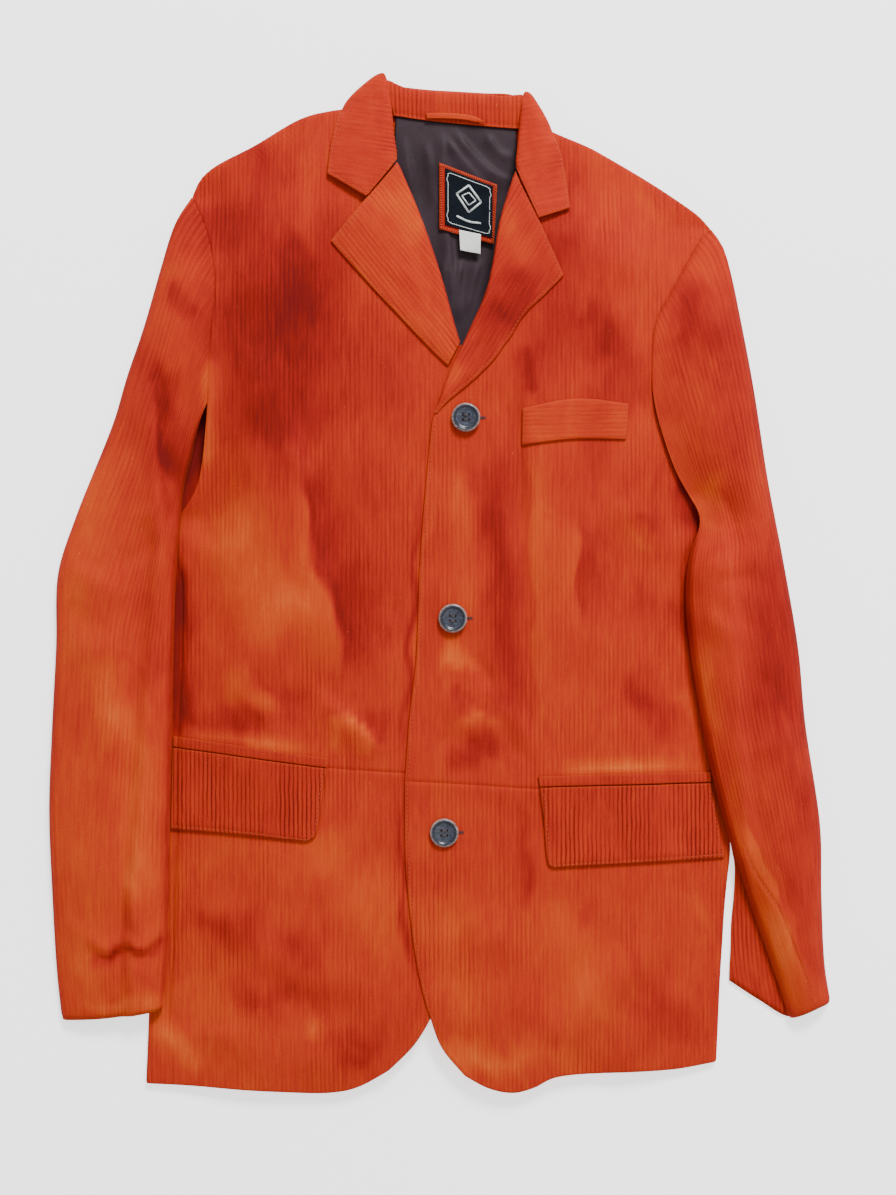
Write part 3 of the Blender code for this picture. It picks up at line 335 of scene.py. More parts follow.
# Where the ribs stand out (above 0) or are worn away (below 0): line, widths, amount.
WORN = [
    ([(-190, 290), (-120, 200), (-60, 120)], 60, 50, 0.25),
    ([(-176, 60), (-130, -20), (-110, -80)], 34, 34, -0.35),
    ([(-60, 40), (-50, -80)], 30, 30, 0.12),
    ([(-220, -260), (-120, -330), (-50, -370)], 46, 46, 0.12),
    ([(-120, -200), (-50, -240)], 30, 30, -0.25),
    ([(90, 300), (80, 160), (60, 60)], 50, 50, -0.3),
    ([(90, 60), (100, -120)], 30, 40, -0.15),
    ([(20, -80), (30, -140)], 16, 26, 0.2),
    ([(90, -240), (160, -330)], 50, 50, -0.2),
    ([(-10, -200), (0, -330)], 24, 24, 0.2),
    ([(-270, 100), (-290, -60), (-270, -300)], 30, 30, -0.3),
    ([(216, 220), (250, 40)], 30, 30, 0.3),
    ([(220, -60), (260, -200)], 30, 30, 0.15),
]


# Curves and patches ---

def spans_of(points, axis=0):
    return np.linalg.norm(np.diff(points, axis=axis), axis=-1)


def run_up(spans, axis=0):
    """The lengths so far, from 0."""
    return np.insert(np.cumsum(spans, axis=axis), 0, 0.0, axis=axis)


def smooth(points, steps=8):
    """A centripetal Catmull-Rom curve through the points."""
    p = np.array(points, float)
    if len(p) < 3:
        return p
    p = np.vstack([2 * p[0] - p[1], p, 2 * p[-1] - p[-2]])
    knots = run_up(np.sqrt(spans_of(p)))
    found = []
    for i in range(1, len(p) - 2):
        k0, k1, k2, k3 = knots[i - 1:i + 3]
        for t in np.linspace(k1, k2, steps, endpoint=False):
            a1 = (k1 - t) / (k1 - k0) * p[i - 1] + (t - k0) / (k1 - k0) * p[i]
            a2 = (k2 - t) / (k2 - k1) * p[i] + (t - k1) / (k2 - k1) * p[i + 1]
            a3 = (k3 - t) / (k3 - k2) * p[i + 1] + (t - k2) / (k3 - k2) * p[i + 2]
            b1 = (k2 - t) / (k2 - k0) * a1 + (t - k0) / (k2 - k0) * a2
            b2 = (k3 - t) / (k3 - k1) * a2 + (t - k1) / (k3 - k1) * a3
            found.append((k2 - t) / (k2 - k1) * b1 + (t - k1) / (k2 - k1) * b2)
    found.append(p[-2])
    return np.array(found)


def chain(*stretches):
    return np.vstack([smooth(stretch) for stretch in stretches])


def shifted(line, dx=0.0, dy=0.0):
    return np.asarray(line, float) + (dx, dy)


def beside(line, gap):
    """The line moved sideways, to the right of the way it runs."""
    way = np.gradient(line, axis=0)
    way = way / np.linalg.norm(way, axis=1)[:, None]
    return line + gap * np.stack([way[:, 1], -way[:, 0]], axis=1)


def along(line, fractions):
    """Points of the line at these fractions of its length."""
    lengths = run_up(spans_of(line))
    at = np.asarray(fractions, float) * lengths[-1]
    return np.stack([np.interp(at, lengths, line[:, k]) for k in range(line.shape[1])], axis=-1)


def length_of(line):
    return float(spans_of(line).sum())


def patch_between(low, high, first, last, us, vs):
    """A Coons patch from its four sides' points: low and high run with u, first and last with v."""
    u = np.asarray(us)[None, :, None]
    v = np.asarray(vs)[:, None, None]
    corners = ((1 - u) * (1 - v) * low[0] + u * (1 - v) * low[-1] + (1 - u) * v * high[0] + u * v * high[-1])
    found = (1 - v) * low[None] + v * high[None] + (1 - u) * first[:, None] + u * last[:, None] - corners
    return found[..., 0], found[..., 1]


def patch(low, high, first, last, us, vs):
    return patch_between(along(low, us), along(high, us), along(first, vs), along(last, vs), us, vs)


def joined(side, side_fractions, armhole, armhole_fractions):
    return np.vstack([along(side, side_fractions), along(armhole, armhole_fractions)])


EDGE_STEPS = (0.35, 0.9, 1.7, 2.8, 4.2)  # extra stations beside an edge that turns down


def fine(length, step, start=True, end=True):
    """Fractions of a length, one about every step, and closer together beside its ends."""
    near = np.array([step_in for step_in in EDGE_STEPS if step_in < 0.3 * length]) / length
    low = near[-1] if start else 0.0
    high = 1 - near[-1] if end else 1.0
    middle = np.linspace(low, high, max(3, round(length * (high - low) / step)))
    first = [0, *near[:-1]] if start else []
    last = [*(1 - near[:-1][::-1]), 1] if end else []
    return np.concatenate([first, middle, last])


def run_on(first, second, share):
    """Fractions of a whole: the first stretch takes this share of it, and the second the rest."""
    return np.concatenate([first * share, share + (1 - share) * second])


# Heights ---

def soft_step(t):
    t = np.clip(t, 0, 1)
    return t * t * (3 - 2 * t)


def bell(way, width, middle=0.0):
    """1 at the middle, and falling away on both sides of it."""
    return np.exp(-(((way - middle) / width) ** 2))


def quarter_round(t):
    """Rises upright from 0 and levels off at 1."""
    return np.sqrt(1 - (1 - np.clip(t, 0, 1)) ** 2)


def table(rows, at):
    rows = np.array(rows, float)
    return np.interp(at, rows[:, 0], rows[:, 1])


def nearest_on(x, y, line):
    """For each point: its way to the line, the side it is on, and how far along the line it is."""
    away, side, share = np.full(x.shape, np.inf), np.zeros(x.shape), np.zeros(x.shape)
    spans = spans_of(line)
    total, gone = spans.sum(), 0.0
    for (x0, y0), (x1, y1), span in zip(line[:-1], line[1:], spans):
        if span == 0:
            continue
        ux, uy = (x1 - x0) / span, (y1 - y0) / span
        t = np.clip((x - x0) * ux + (y - y0) * uy, 0, span)
        dx, dy = x - x0 - t * ux, y - y0 - t * uy
        d = np.hypot(dx, dy)
        closer = d < away
        away = np.where(closer, d, away)
        side = np.where(closer, ux * dy - uy * dx, side)
        share = np.where(closer, (gone + t) / total, share)
        gone += span
    return away, side, share


def distance(x, y, line):
    return nearest_on(x, y, line)[0]


def strokes(x, y, rows):
    """Sum of soft ridges along lines (line, width to the left, width to the right, height)."""
    total = np.zeros(x.shape)
    for points, left, right, height in rows:
        line = smooth(points)
        reach = 3 * max(left, right)
        near = ((x > line[:, 0].min() - reach) & (x < line[:, 0].max() + reach)
                & (y > line[:, 1].min() - reach) & (y < line[:, 1].max() + reach))
        if not near.any():
            continue
        away, side, share = nearest_on(x[near], y[near], line)
        width = np.where(side > 0, left, right)
        fade = soft_step(share / 0.3) * soft_step((1 - share) / 0.3)
        wander = 1 + 0.18 * np.sin(share * 9 + len(points) + left)
        total[near] += height * wander * fade * bell(away, width)
    return total


def nap_and_shade_at(x, y, rows=NAP_AND_SHADE_STROKES):
    """The nap's own tone, with painted light and shade by folds and edges: the strokes, with a waver in their
    outlines.
    """
    sway = 3.2 * np.sin(x / 9.1 + y / 23.0) + 2.1 * np.sin(y / 6.3 - x / 17.0)
    sway += 1.2 * np.sin(x / 3.1 + y / 4.4)
    lean = 2.6 * np.sin(y / 11.7 + x / 15.0 + 1.1) + 1.8 * np.sin(x / 5.2 - y / 7.9)
    return strokes(x + 0.7 * lean, y + 1.6 * sway, rows)


# Long shallow waves that keep the cloth from lying dead flat: direction, wavelength, height, phase.
WAVES = [(0.35, 92, 0.34, 0.4), (1.25, 61, 0.24, 2.1), (2.2, 74, 0.26, 4.0), (2.8, 43, 0.13, 1.2),
         (0.9, 33, 0.09, 5.1)]


def waves(x, y):
    total = np.zeros(np.shape(x))
    for angle, length, height, phase in WAVES:
        run = x * math.cos(angle) + y * math.sin(angle)
        bend = 9 * np.sin((y * math.cos(angle) - x * math.sin(angle)) / 57 + phase)
        total = total + height * np.sin(2 * math.pi * (run + bend) / length + phase)
    return total


def neck_raise(x, y):
    return NECK_RAISE * soft_step((y - 300) / 28) * soft_step((130 - np.abs(x - 8)) / 25)


class Side:
    """The seams of one side of the jacket, and the heights that follow from them."""

    def __init__(self, side, armhole, shoulder, overlap, outward, settle):
        self.side, self.armhole, self.shoulder = smooth(side), smooth(armhole), smooth(shoulder)
        self.overlap, self.outward, self.settle = overlap, outward, settle
        self.arm_low, self.arm_high = armhole[0][1], armhole[-1][1]

    def armhole_z(self, y):
        k = np.clip((y - self.arm_low) / (self.arm_high - self.arm_low), 0, 1)
        return EDGE_Z + ARMHOLE_RISE * np.sin(math.pi * k) ** 0.7

    def front_z(self, x, y):
        d = np.minimum(distance(x, y, self.side), distance(x, y, self.shoulder))
        line = self.shoulder[np.argsort(self.shoulder[:, 0])]
        d = np.where(y > np.interp(x, line[:, 0], line[:, 1]), 0, d)
        covered = table(self.overlap, y)
        inside = d - covered - SPARE * soft_step(covered / 4)
        loft = table(CROWN, y) - PRESSED_Z + strokes(x, y, FRONT_FOLDS) + waves(x, y)
        free = (EDGE_Z + (PRESSED_Z - EDGE_Z) * quarter_round(d / 3)
                + loft * (0.16 * quarter_round(inside / 9) + 0.84 * soft_step(inside / 80)))
        away = np.maximum(soft_step(distance(x, y, self.armhole) / 45),
                          soft_step((self.arm_low + 4 - y) / 30))
        return (1 - away) * self.armhole_z(y) + away * free + neck_raise(x, y)

    def sleeve_base(self, x, y):
        seam_x = np.interp(y, self.side[:, 1], self.side[:, 0])
        out = (x - seam_x) * self.outward
        (top, run), (low, low_run) = self.settle
        part = soft_step((top - y) / run) * soft_step((y - low) / low_run)
        return SLEEVE_LIFT * part * soft_step((22 - out) / 14)


RIGHT = Side(RIGHT_SIDE, RIGHT_ARMHOLE, RIGHT_SHOULDER, RIGHT_OVERLAP, -1, ((60, 30), (-420, 10)))
LEFT = Side(LEFT_SIDE, LEFT_ARMHOLE, LEFT_SHOULDER, LEFT_OVERLAP, 1, ((92, 44), (-262, 50)))


def left_front_z(x, y):
    lap = OVER * soft_step((125 - x) / 60)
    lapel_break = 1.8 * np.exp(-(((x - 2) / 22) ** 2) - ((y - 150) / 40) ** 2)
    return LEFT.front_z(x, y) + lap + lapel_break


def front_height(node):
    """The height rule of the front under a piece: the right one if its name says so, or else the left."""
    return RIGHT.front_z if "right" in node else left_front_z


def lining_z(x, y):
    return BACK_TOP + LIE + 0.3 + SATIN + neck_raise(x, y)


# Materials ---

class Shading:
    """Builds one node material: its calls return sockets, which other calls take."""

    def __init__(self, name):
        self.material = bpy.data.materials.new(name)
        self.material.use_nodes = True
        self.tree = self.material.node_tree
        self.shader = self.tree.nodes["Principled BSDF"]

    def feed(self, socket, value):
        """Links the value to the socket, or sets it there. A colour of three numbers is opaque."""
        if isinstance(value, bpy.types.NodeSocket):
            self.tree.links.new(value, socket)
        elif isinstance(value, tuple) and len(value) == 3 and len(socket.default_value) == 4:
            socket.default_value = (*value, 1)
        else:
            socket.default_value = value

    def node(self, kind, out=0, settings=(), first=(), **inputs):
        """A node: its first sockets take the values in first, and the named ones take the rest."""
        made = self.tree.nodes.new("ShaderNode" + kind)
        for key, value in dict(settings).items():
            setattr(made, key, value)
        for socket, value in [*zip(made.inputs, first), *((made.inputs[key], inputs[key]) for key in inputs)]:
            self.feed(socket, value)
        return made.outputs[out]

    def math(self, operation, *values, clamp=False):
        return self.node("Math", 0, {"operation": operation, "use_clamp": clamp}, (*values, 0.0, 0.0))

    def plus(self, a, b, clamp=False):
        return self.math("ADD", a, b, clamp=clamp)

    def minus(self, a, b, clamp=False):
        return self.math("SUBTRACT", a, b, clamp=clamp)

    def times(self, a, b, clamp=False):
        return self.math("MULTIPLY", a, b, clamp=clamp)

    def times_plus(self, a, b, c, clamp=False):
        return self.math("MULTIPLY_ADD", a, b, c, clamp=clamp)

    def attribute(self, name):
        return self.node("Attribute", 2, {"attribute_name": name})

    def place(self):
        return self.node("TexCoord", 3)

    def cut(self):
        """Metres across and along the flat cut."""
        return self.node("UVMap", 0, {"uv_map": "cloth"})

    def noise(self, vector, scale, detail=3.0, roughness=0.55, distortion=0.0, stretch=None):
        if stretch:
            vector = self.node("Mapping", Vector=vector, Scale=stretch)
        return self.node("TexNoise", Vector=vector, Scale=scale, Detail=detail, Roughness=roughness,
                         Distortion=distortion)

    def ramp(self, factor, stops):
        made = self.tree.nodes.new("ShaderNodeValToRGB")
        self.tree.links.new(factor, made.inputs[0])
        while len(made.color_ramp.elements) < len(stops):
            made.color_ramp.elements.new(0.5)
        for element, (place, colour) in zip(made.color_ramp.elements, stops):
            element.position, element.color = place, (*colour, 1)
        return made.outputs[0]

    def mix(self, factor, a, b):
        made = self.tree.nodes.new("ShaderNodeMix")
        made.data_type = "RGBA"
        for socket, value in zip((made.inputs[0], made.inputs[6], made.inputs[7]), (factor, a, b)):
            self.feed(socket, value)
        return made.outputs[2]

    def bump(self, strength, height):
        return self.node("Bump", Strength=strength, Distance=1.0, Height=height)

    def finish(self, **inputs):
        for key, value in inputs.items():
            self.feed(self.shader.inputs[key.replace("_", " ")], value)
        return self.material


DEEP, RED, ORANGE, BRIGHT, FADED = (
    (0.13, 0.006, 0.006), (0.25, 0.010, 0.0075), (0.37, 0.024, 0.0085), (0.46, 0.052, 0.0085),
    (0.55, 0.102, 0.018))


def make_suede():
    m = Shading("ribbed_suede")
    place, cloth = m.place(), m.cut()
    s = m.node("SeparateXYZ", Vector=cloth)
    wander = m.times(m.minus(m.noise(place, 55, 2), 0.5), 0.0016)
    ridge = m.math("COSINE", m.times(m.plus(s, wander), 2 * math.pi / (RIB_PITCH * MM)))
    wale, nap, tone, edge = (m.attribute(name) for name in ("wale", "nap", "tone", "edge"))
    blotch = m.noise(place, 13, 4, 0.6, 1.2)
    cloud = m.noise(place, 46, 4, 0.62, 0.8, (1, 0.45, 1))
    streak = m.noise(cloth, 460, 3, 0.6, stretch=(1, 0.07, 1))
    fibre = m.noise(cloth, 1900, 2, 0.7, stretch=(1, 0.5, 1))
    # This channel brings the nap's own tone and painted light and shade by folds, edges and steep flanks.
    shade = m.times(nap, 0.34)
    for grain, share in ((blotch, 0.22), (cloud, 0.34), (streak, 0.42), (fibre, 0.6)):
        shade = m.plus(shade, m.times(m.minus(grain, 0.5), share))
    shade = m.plus(shade, m.plus(tone, 0.5))
    # The ribs: how far they are worn in patches, and one by one.
    fade = m.noise(cloth, 36, 3, 0.6, 0.6, (1, 0.4, 1))
    each = m.noise(cloth, 240, 1, stretch=(1, 0.05, 1))
    fade = m.times_plus(m.times_plus(fade, 3.6, -1.25, clamp=True), 0.95, 0.22)
    patchy = m.times(m.times(wale, fade), m.times_plus(each, 1.1, 0.45))
    lift = m.times(m.times(ridge, patchy), 0.03)
    colour = m.ramp(m.plus(shade, lift, clamp=True),
                    [(0.0, DEEP), (0.25, RED), (0.5, ORANGE), (0.76, BRIGHT), (1.0, FADED)])
    groove = m.times(m.math("POWER", m.times_plus(ridge, -0.5, 0.5), 4.0), patchy)
    # Painted shade in the grooves between the ribs: the colour is mixed toward DEEP there.
    colour = m.mix(m.times(groove, 0.55, clamp=True), colour, DEEP)
    worn = m.minus(1.0, m.math("DIVIDE", edge, 2.0), clamp=True)
    colour = m.mix(m.times(worn, 0.3), colour, BRIGHT)
    fleck = m.times(m.minus(m.noise(cloth, 900, 1, 0.5, stretch=(1, 0.3, 1)), 0.76), 9, clamp=True)
    colour = m.mix(m.times(fleck, 0.45), colour, (0.80, 0.26, 0.09))
    height = m.plus(m.times(groove, -0.00026), m.plus(m.times(fibre, 0.00034), m.times(streak, 0.00022)))
    return m.finish(Base_Color=colour, Roughness=m.times_plus(cloud, 0.2, 0.78), Normal=m.bump(0.8, height),
                    Specular_IOR_Level=0.06, Sheen_Weight=0.06, Sheen_Roughness=0.5,
                    Sheen_Tint=(1.0, 0.24, 0.04))


def make_satin():
    m = Shading("satin_lining")
    place, cloth = m.place(), m.cut()
    blotch = m.noise(place, 26, 3, 0.6, 0.6)
    warp, weft = (m.noise(cloth, 4200, 2, 0.6, stretch=stretch) for stretch in ((1, 0.05, 1), (0.05, 1, 1)))
    weave = m.times_plus(m.plus(warp, weft), 0.5, m.times(blotch, 0.7))
    colour = m.ramp(m.times(weave, 0.83), [(0.3, (0.008, 0.0045, 0.006)), (0.55, (0.017, 0.009, 0.012)),
                                           (0.8, (0.032, 0.019, 0.025))])
    return m.finish(Base_Color=colour, Roughness=m.times_plus(blotch, 0.15, 0.52),
                    Normal=m.bump(0.4, m.times(weave, 0.00007)), Specular_IOR_Level=0.12, Sheen_Weight=0.02,
                    Sheen_Roughness=0.35, Sheen_Tint=(0.7, 0.6, 0.66))


def make_plain(name, low, high, grain, roughness, bump, **more):
    """A finish whose colour wanders between two tones, with a fine grain."""
    m = Shading(name)
    place = m.place()
    broad, small = m.noise(place, grain / 12, 3, 0.6, 0.4), m.noise(place, grain, 3, 0.65)
    colour = m.ramp(m.times_plus(broad, 0.6, m.times(small, 0.4)), [(0.32, low), (0.68, high)])
    return m.finish(Base_Color=colour, Roughness=m.times_plus(small, 0.2, roughness - 0.1),
                    Normal=m.bump(0.6, m.times(small, bump)), **more)


def make_horn():
    m = Shading("button_resin")
    radius = m.attribute("radius")
    swirl = m.noise(m.place(), 210, 4, 0.6, 2.2, (1, 2.2, 1))
    face = m.ramp(swirl, [(0.25, (0.006, 0.007, 0.011)), (0.5, (0.020, 0.024, 0.038)),
                          (0.75, (0.07, 0.08, 0.115))])
    # The rim's lighter pinkish tone is a painted highlight, and the dark ring in the groove inside it is
    # painted shade.
    rim_highlight = m.ramp(swirl, [(0.3, (0.08, 0.045, 0.04)), (0.7, (0.36, 0.24, 0.21))])
    on_rim = m.times(m.minus(radius, 0.86), 18, clamp=True)
    groove_shade = m.minus(1.0, m.times(m.math("ABSOLUTE", m.minus(radius, 0.76)), 12), clamp=True)
    colour = m.mix(on_rim, m.mix(m.times(groove_shade, 0.85), face, (0.004, 0.004, 0.006)), rim_highlight)
    return m.finish(Base_Color=colour, Roughness=m.times_plus(swirl, 0.12, 0.22),
                    Normal=m.bump(0.3, m.times(swirl, 0.00008)), Coat_Weight=0.12, Coat_Roughness=0.2,
                    Specular_IOR_Level=0.35)


# Meshes ---

class Cloth:
    """A cut piece as a grid of points, its outer face, in millimetres."""

    def __init__(self, x, y, z, s=None, t=None, rib=1.0, turned=(), stitched=(), seamed=(), pressed=1.0):
        self.p = np.stack([x, y, z], axis=-1)
        self.turn = 1
        self.turn = -1 if np.median(self.normals()[..., 2]) < 0 else 1
        across, up = run_up(spans_of(self.p, 1), 1), run_up(spans_of(self.p))
        self.ways = {"first": across, "last": across[:, -1:] - across, "low": up, "high": up[-1:] - up}
        self.s = x if s is None else s
        self.t = y if t is None else t
        self.rib = np.broadcast_to(rib, x.shape)
        self.edge = np.minimum.reduce([way for name, way in self.ways.items() if name not in seamed])
        # Painted shade on steep sides: how far the face turns from upright, which darkens its colour.
        self.flank_shade = soft_step((0.95 - np.abs(self.normals()[..., 2])) / 0.45)
        self.press(turned, stitched, seamed, pressed)

    def normals(self):
        du, dv = np.gradient(self.p, axis=1), np.gradient(self.p, axis=0)
        n = np.cross(du, dv) * self.turn
        return n / np.maximum(np.linalg.norm(n, axis=2), 1e-9)[..., None]

    def press(self, turned, stitched, seamed, pressed):
        """Rounds turned edges, sinks seamed ones and a line beside stitched ones, and raises the ribs."""
        lift = np.zeros(self.edge.shape)
        for way in turned:
            lift -= TURN_DROP * (1 - quarter_round(self.ways[way] / TURN_WAY))
        for way in seamed:
            d = self.ways[way]
            lift += SEAM_RIDGE * bell(d, 2.2, 3.2) - SEAM_DIP * bell(d, 1.1)
        if stitched:
            d = np.minimum.reduce([self.ways[way] for way in stitched])
            lift -= STITCH_DIP * bell(d, 0.9, STITCH_INSET)
            lift += STITCH_PUFF * bell(d, 4.0, 3 * STITCH_INSET)
        lift += RIB_HEIGHT / 2 * np.cos(2 * math.pi * self.s / RIB_PITCH) * self.rib
        self.p = self.p + self.normals() * (lift * pressed)[..., None]

    def on_face(self, line):
        """The face's points nearest to a line of (x, y)."""
        flat = self.p.reshape(-1, 3)
        nearest = [np.argmin((flat[:, 0] - x) ** 2 + (flat[:, 1] - y) ** 2) for x, y in line]
        return np.column_stack([line, flat[nearest, 2]])

    def seam_points(self, way, inset=STITCH_INSET, start=0.0, end=1.0):
        """The face's points a given way in from one edge, in order along it."""
        d, p = self.ways[way], self.p
        if way in ("low", "high"):
            d, p = d.T, p.transpose(1, 0, 2)
        if way in ("last", "high"):
            d, p = d[:, ::-1], p[:, ::-1]
        found = np.array([[np.interp(inset, d[i], p[i, :, k]) for k in range(3)] for i in range(len(d))])
        count = len(found)
        return found[round(start * (count - 1)):round(end * (count - 1)) + 1]


def put_object(name, data):
    made = bpy.data.objects.new(name, data)
    bpy.context.scene.collection.objects.link(made)
    return made


def join(piece, node=None):
    """The piece moves with the jacket, and takes the place of its CAD node if it has one."""
    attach(piece, "root")
    if node:
        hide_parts(node)


def add_mesh(name, points, faces, finish):
    """An object from points in metres and faces of equal size."""
    faces = np.asarray(faces, np.int32)
    mesh = bpy.data.meshes.new(name)
    mesh.vertices.add(len(points))
    mesh.vertices.foreach_set("co", np.asarray(points, np.float32).ravel())
    mesh.loops.add(faces.size)
    mesh.loops.foreach_set("vertex_index", faces.ravel())
    mesh.polygons.add(len(faces))
    mesh.polygons.foreach_set("loop_start", np.arange(0, faces.size, faces.shape[1], dtype=np.int32))
    mesh.update(calc_edges=True)
    mesh.materials.append(finish)
    mesh.shade_smooth()
    return put_object(name, mesh)


def grid_faces(rows, columns, flip=False):
    index = np.arange(rows * columns).reshape(rows, columns)
    quads = np.stack([index[:-1, :-1], index[:-1, 1:], index[1:, 1:], index[1:, :-1]], axis=-1).reshape(-1, 4)
    return quads[:, ::-1] if flip else quads


def put_attribute(mesh, name, values):
    layer = mesh.attributes.new(name, "FLOAT", "POINT")
    layer.data.foreach_set("value", np.asarray(values, np.float32).ravel())


def sew(node, cloth, finish, thickness=CLOTH, tone=0.0, nap=0.0):
    """Makes a piece's mesh with its cut as a UV map, thickens it inward, and puts it in the place of its CAD
    node."""
    rows, columns = cloth.p.shape[:2]
    faces = grid_faces(rows, columns, cloth.turn < 0)
    made = add_mesh(f"cloth_{node}", to_world(cloth.p.reshape(-1, 3)), faces, finish)
    mesh = made.data
    layer = mesh.uv_layers.new(name="cloth")
    corner = np.empty(len(mesh.loops), np.int32)
    mesh.loops.foreach_get("vertex_index", corner)
    uv = np.stack([cloth.s.ravel(), cloth.t.ravel()], axis=1) * MM
    layer.data.foreach_set("uv", uv[corner].astype(np.float32).ravel())
    # The nap's tone and painted shade by folds and edges, made darker still on steep flanks as painted shade.
    put_attribute(mesh, "nap", nap - 0.5 * cloth.flank_shade)
    put_attribute(mesh, "wale", cloth.rib)
    put_attribute(mesh, "tone", np.broadcast_to(tone, (rows, columns)))
    put_attribute(mesh, "edge", np.minimum(cloth.edge, 30))
    wall = made.modifiers.new("wall", "SOLIDIFY")
    wall.thickness = thickness * MM
    wall.offset = -1
    join(made, node)


def to_world(points):
    """Millimetres of the tables to metres of the frame."""
    return np.asarray(points, float) * MM + np.array([SHIFT_X, SHIFT_Y, 0.0])


def rib_strength(x, y):
    """Ribs stand clearer where the nap isn't rubbed flat."""
    slow = 0.14 * np.sin(x / 31 + 1.3) * np.sin(y / 47 + 0.6) + 0.1 * np.sin(x / 13 + y / 29)
    return np.clip(0.54 - 0.16 * nap_and_shade_at(x, y) + strokes(x, y, WORN) + slow, 0.15, 1.1)


def rib_ways(x, y, slope):
    """Cut coordinates across and along ribs that slope by so many degrees."""
    angle = math.radians(slope)
    return y * math.cos(angle) - x * math.sin(angle), x * math.cos(angle) + y * math.sin(angle)


# The cut pieces ---

def make_back():
    us = fine(450, 6.5, False, False)
    seam, arm = np.linspace(0, 1, 56)[:-1], np.linspace(0, 1, 48)
    vs = run_on(seam, arm, 0.62)
    high = chain(RIGHT_SHOULDER, BACK_NECK, LEFT_SHOULDER)
    x, y = patch_between(along(smooth(BACK_HEM), us), along(high, us),
                         joined(RIGHT.side, seam, smooth(RIGHT_BACK_ARMHOLE), arm),
                         joined(LEFT.side, seam, LEFT.armhole, arm), us, vs)
    # Painted shade in the slot beside the right armhole: the back is darkened there, most toward the top.
    gap = bell(distance(x, y, smooth(RIGHT_BACK_ARMHOLE)), 14) * (x < 0)
    sew("back", Cloth(x, y, BACK_TOP + neck_raise(x, y), rib=0), SUEDE,
        tone=-0.4 * gap * soft_step((y - 62) / 40), nap=-1.3 * gap)


def make_lining():
    us, vs = fine(110, 1.6, False, False), fine(270, 1.8, False, False)
    high = shifted(smooth(BACK_NECK[2:7]), 0, 0.6)
    x, y = patch(np.array([(-48.0, 90), (78, 90)]), high, np.array([(-48.0, 90), (-35, 364.6)]),
                 np.array([(78.0, 90), (59, 354.6)]), us, vs)
    inner = soft_step((x + 48) / 12) * soft_step((76 - x) / 12) * soft_step((362 - y) / 10)
    # A box pleat down the middle of the back and soft folds that hang from the neck seam.
    folds = strokes(x, y, LINING_FOLDS)
    sew("lining_back", Cloth(x, y, lining_z(x, y) + 0.15 + folds * inner, rib=0), SATIN_CLOTH,
        SATIN)


LINING_FOLDS = [
    ([(-2, 364), (3, 330), (3, 300), (8, 250), (10, 190)], 2.0, 7, 2.6),
    ([(8, 356), (26, 334), (44, 318), (60, 312)], 2.5, 8, 2.6),
    ([(0, 352), (20, 326), (40, 306)], 2.2, 6, 1.9),
    ([(34, 352), (46, 336), (58, 330)], 3, 5, 1.6),
    ([(-30, 358), (-24, 320), (-16, 276), (-4, 216)], 2.5, 8, 2.0),
    ([(-12, 350), (-8, 320), (-6, 290)], 3, 4, 1.2),
    ([(18, 258), (14, 230), (16, 200)], 2, 5, 2.2),
    ([(32, 256), (25, 230), (20, 206)], 2.5, 5, 1.8),
    ([(4, 260), (2, 230), (8, 200)], 3, 4, 1.5),
]


# The sheet that each front is cut from, and its turned, stitched and seamed edges.
FRONTS = {
    "front_right_upper": ((0.265, 0.525), (), (), ("low", "first")),
    "front_right_lower": ((0.27, 0.275), ("low", "last"), ("last",), ("high",)),
    "front_left_upper": ((0.255, 0.52), ("first",), ("first",), ("low", "last")),
    "front_left_lower": ((0.26, 0.245), ("low", "first"), ("first",), ("high",)),
}


FRONT_WIDTH, SIDE_RUN, ARM_RUN, LOWER_RUN, FRONT_STEP = 246, 210, 300, 248, 4.7


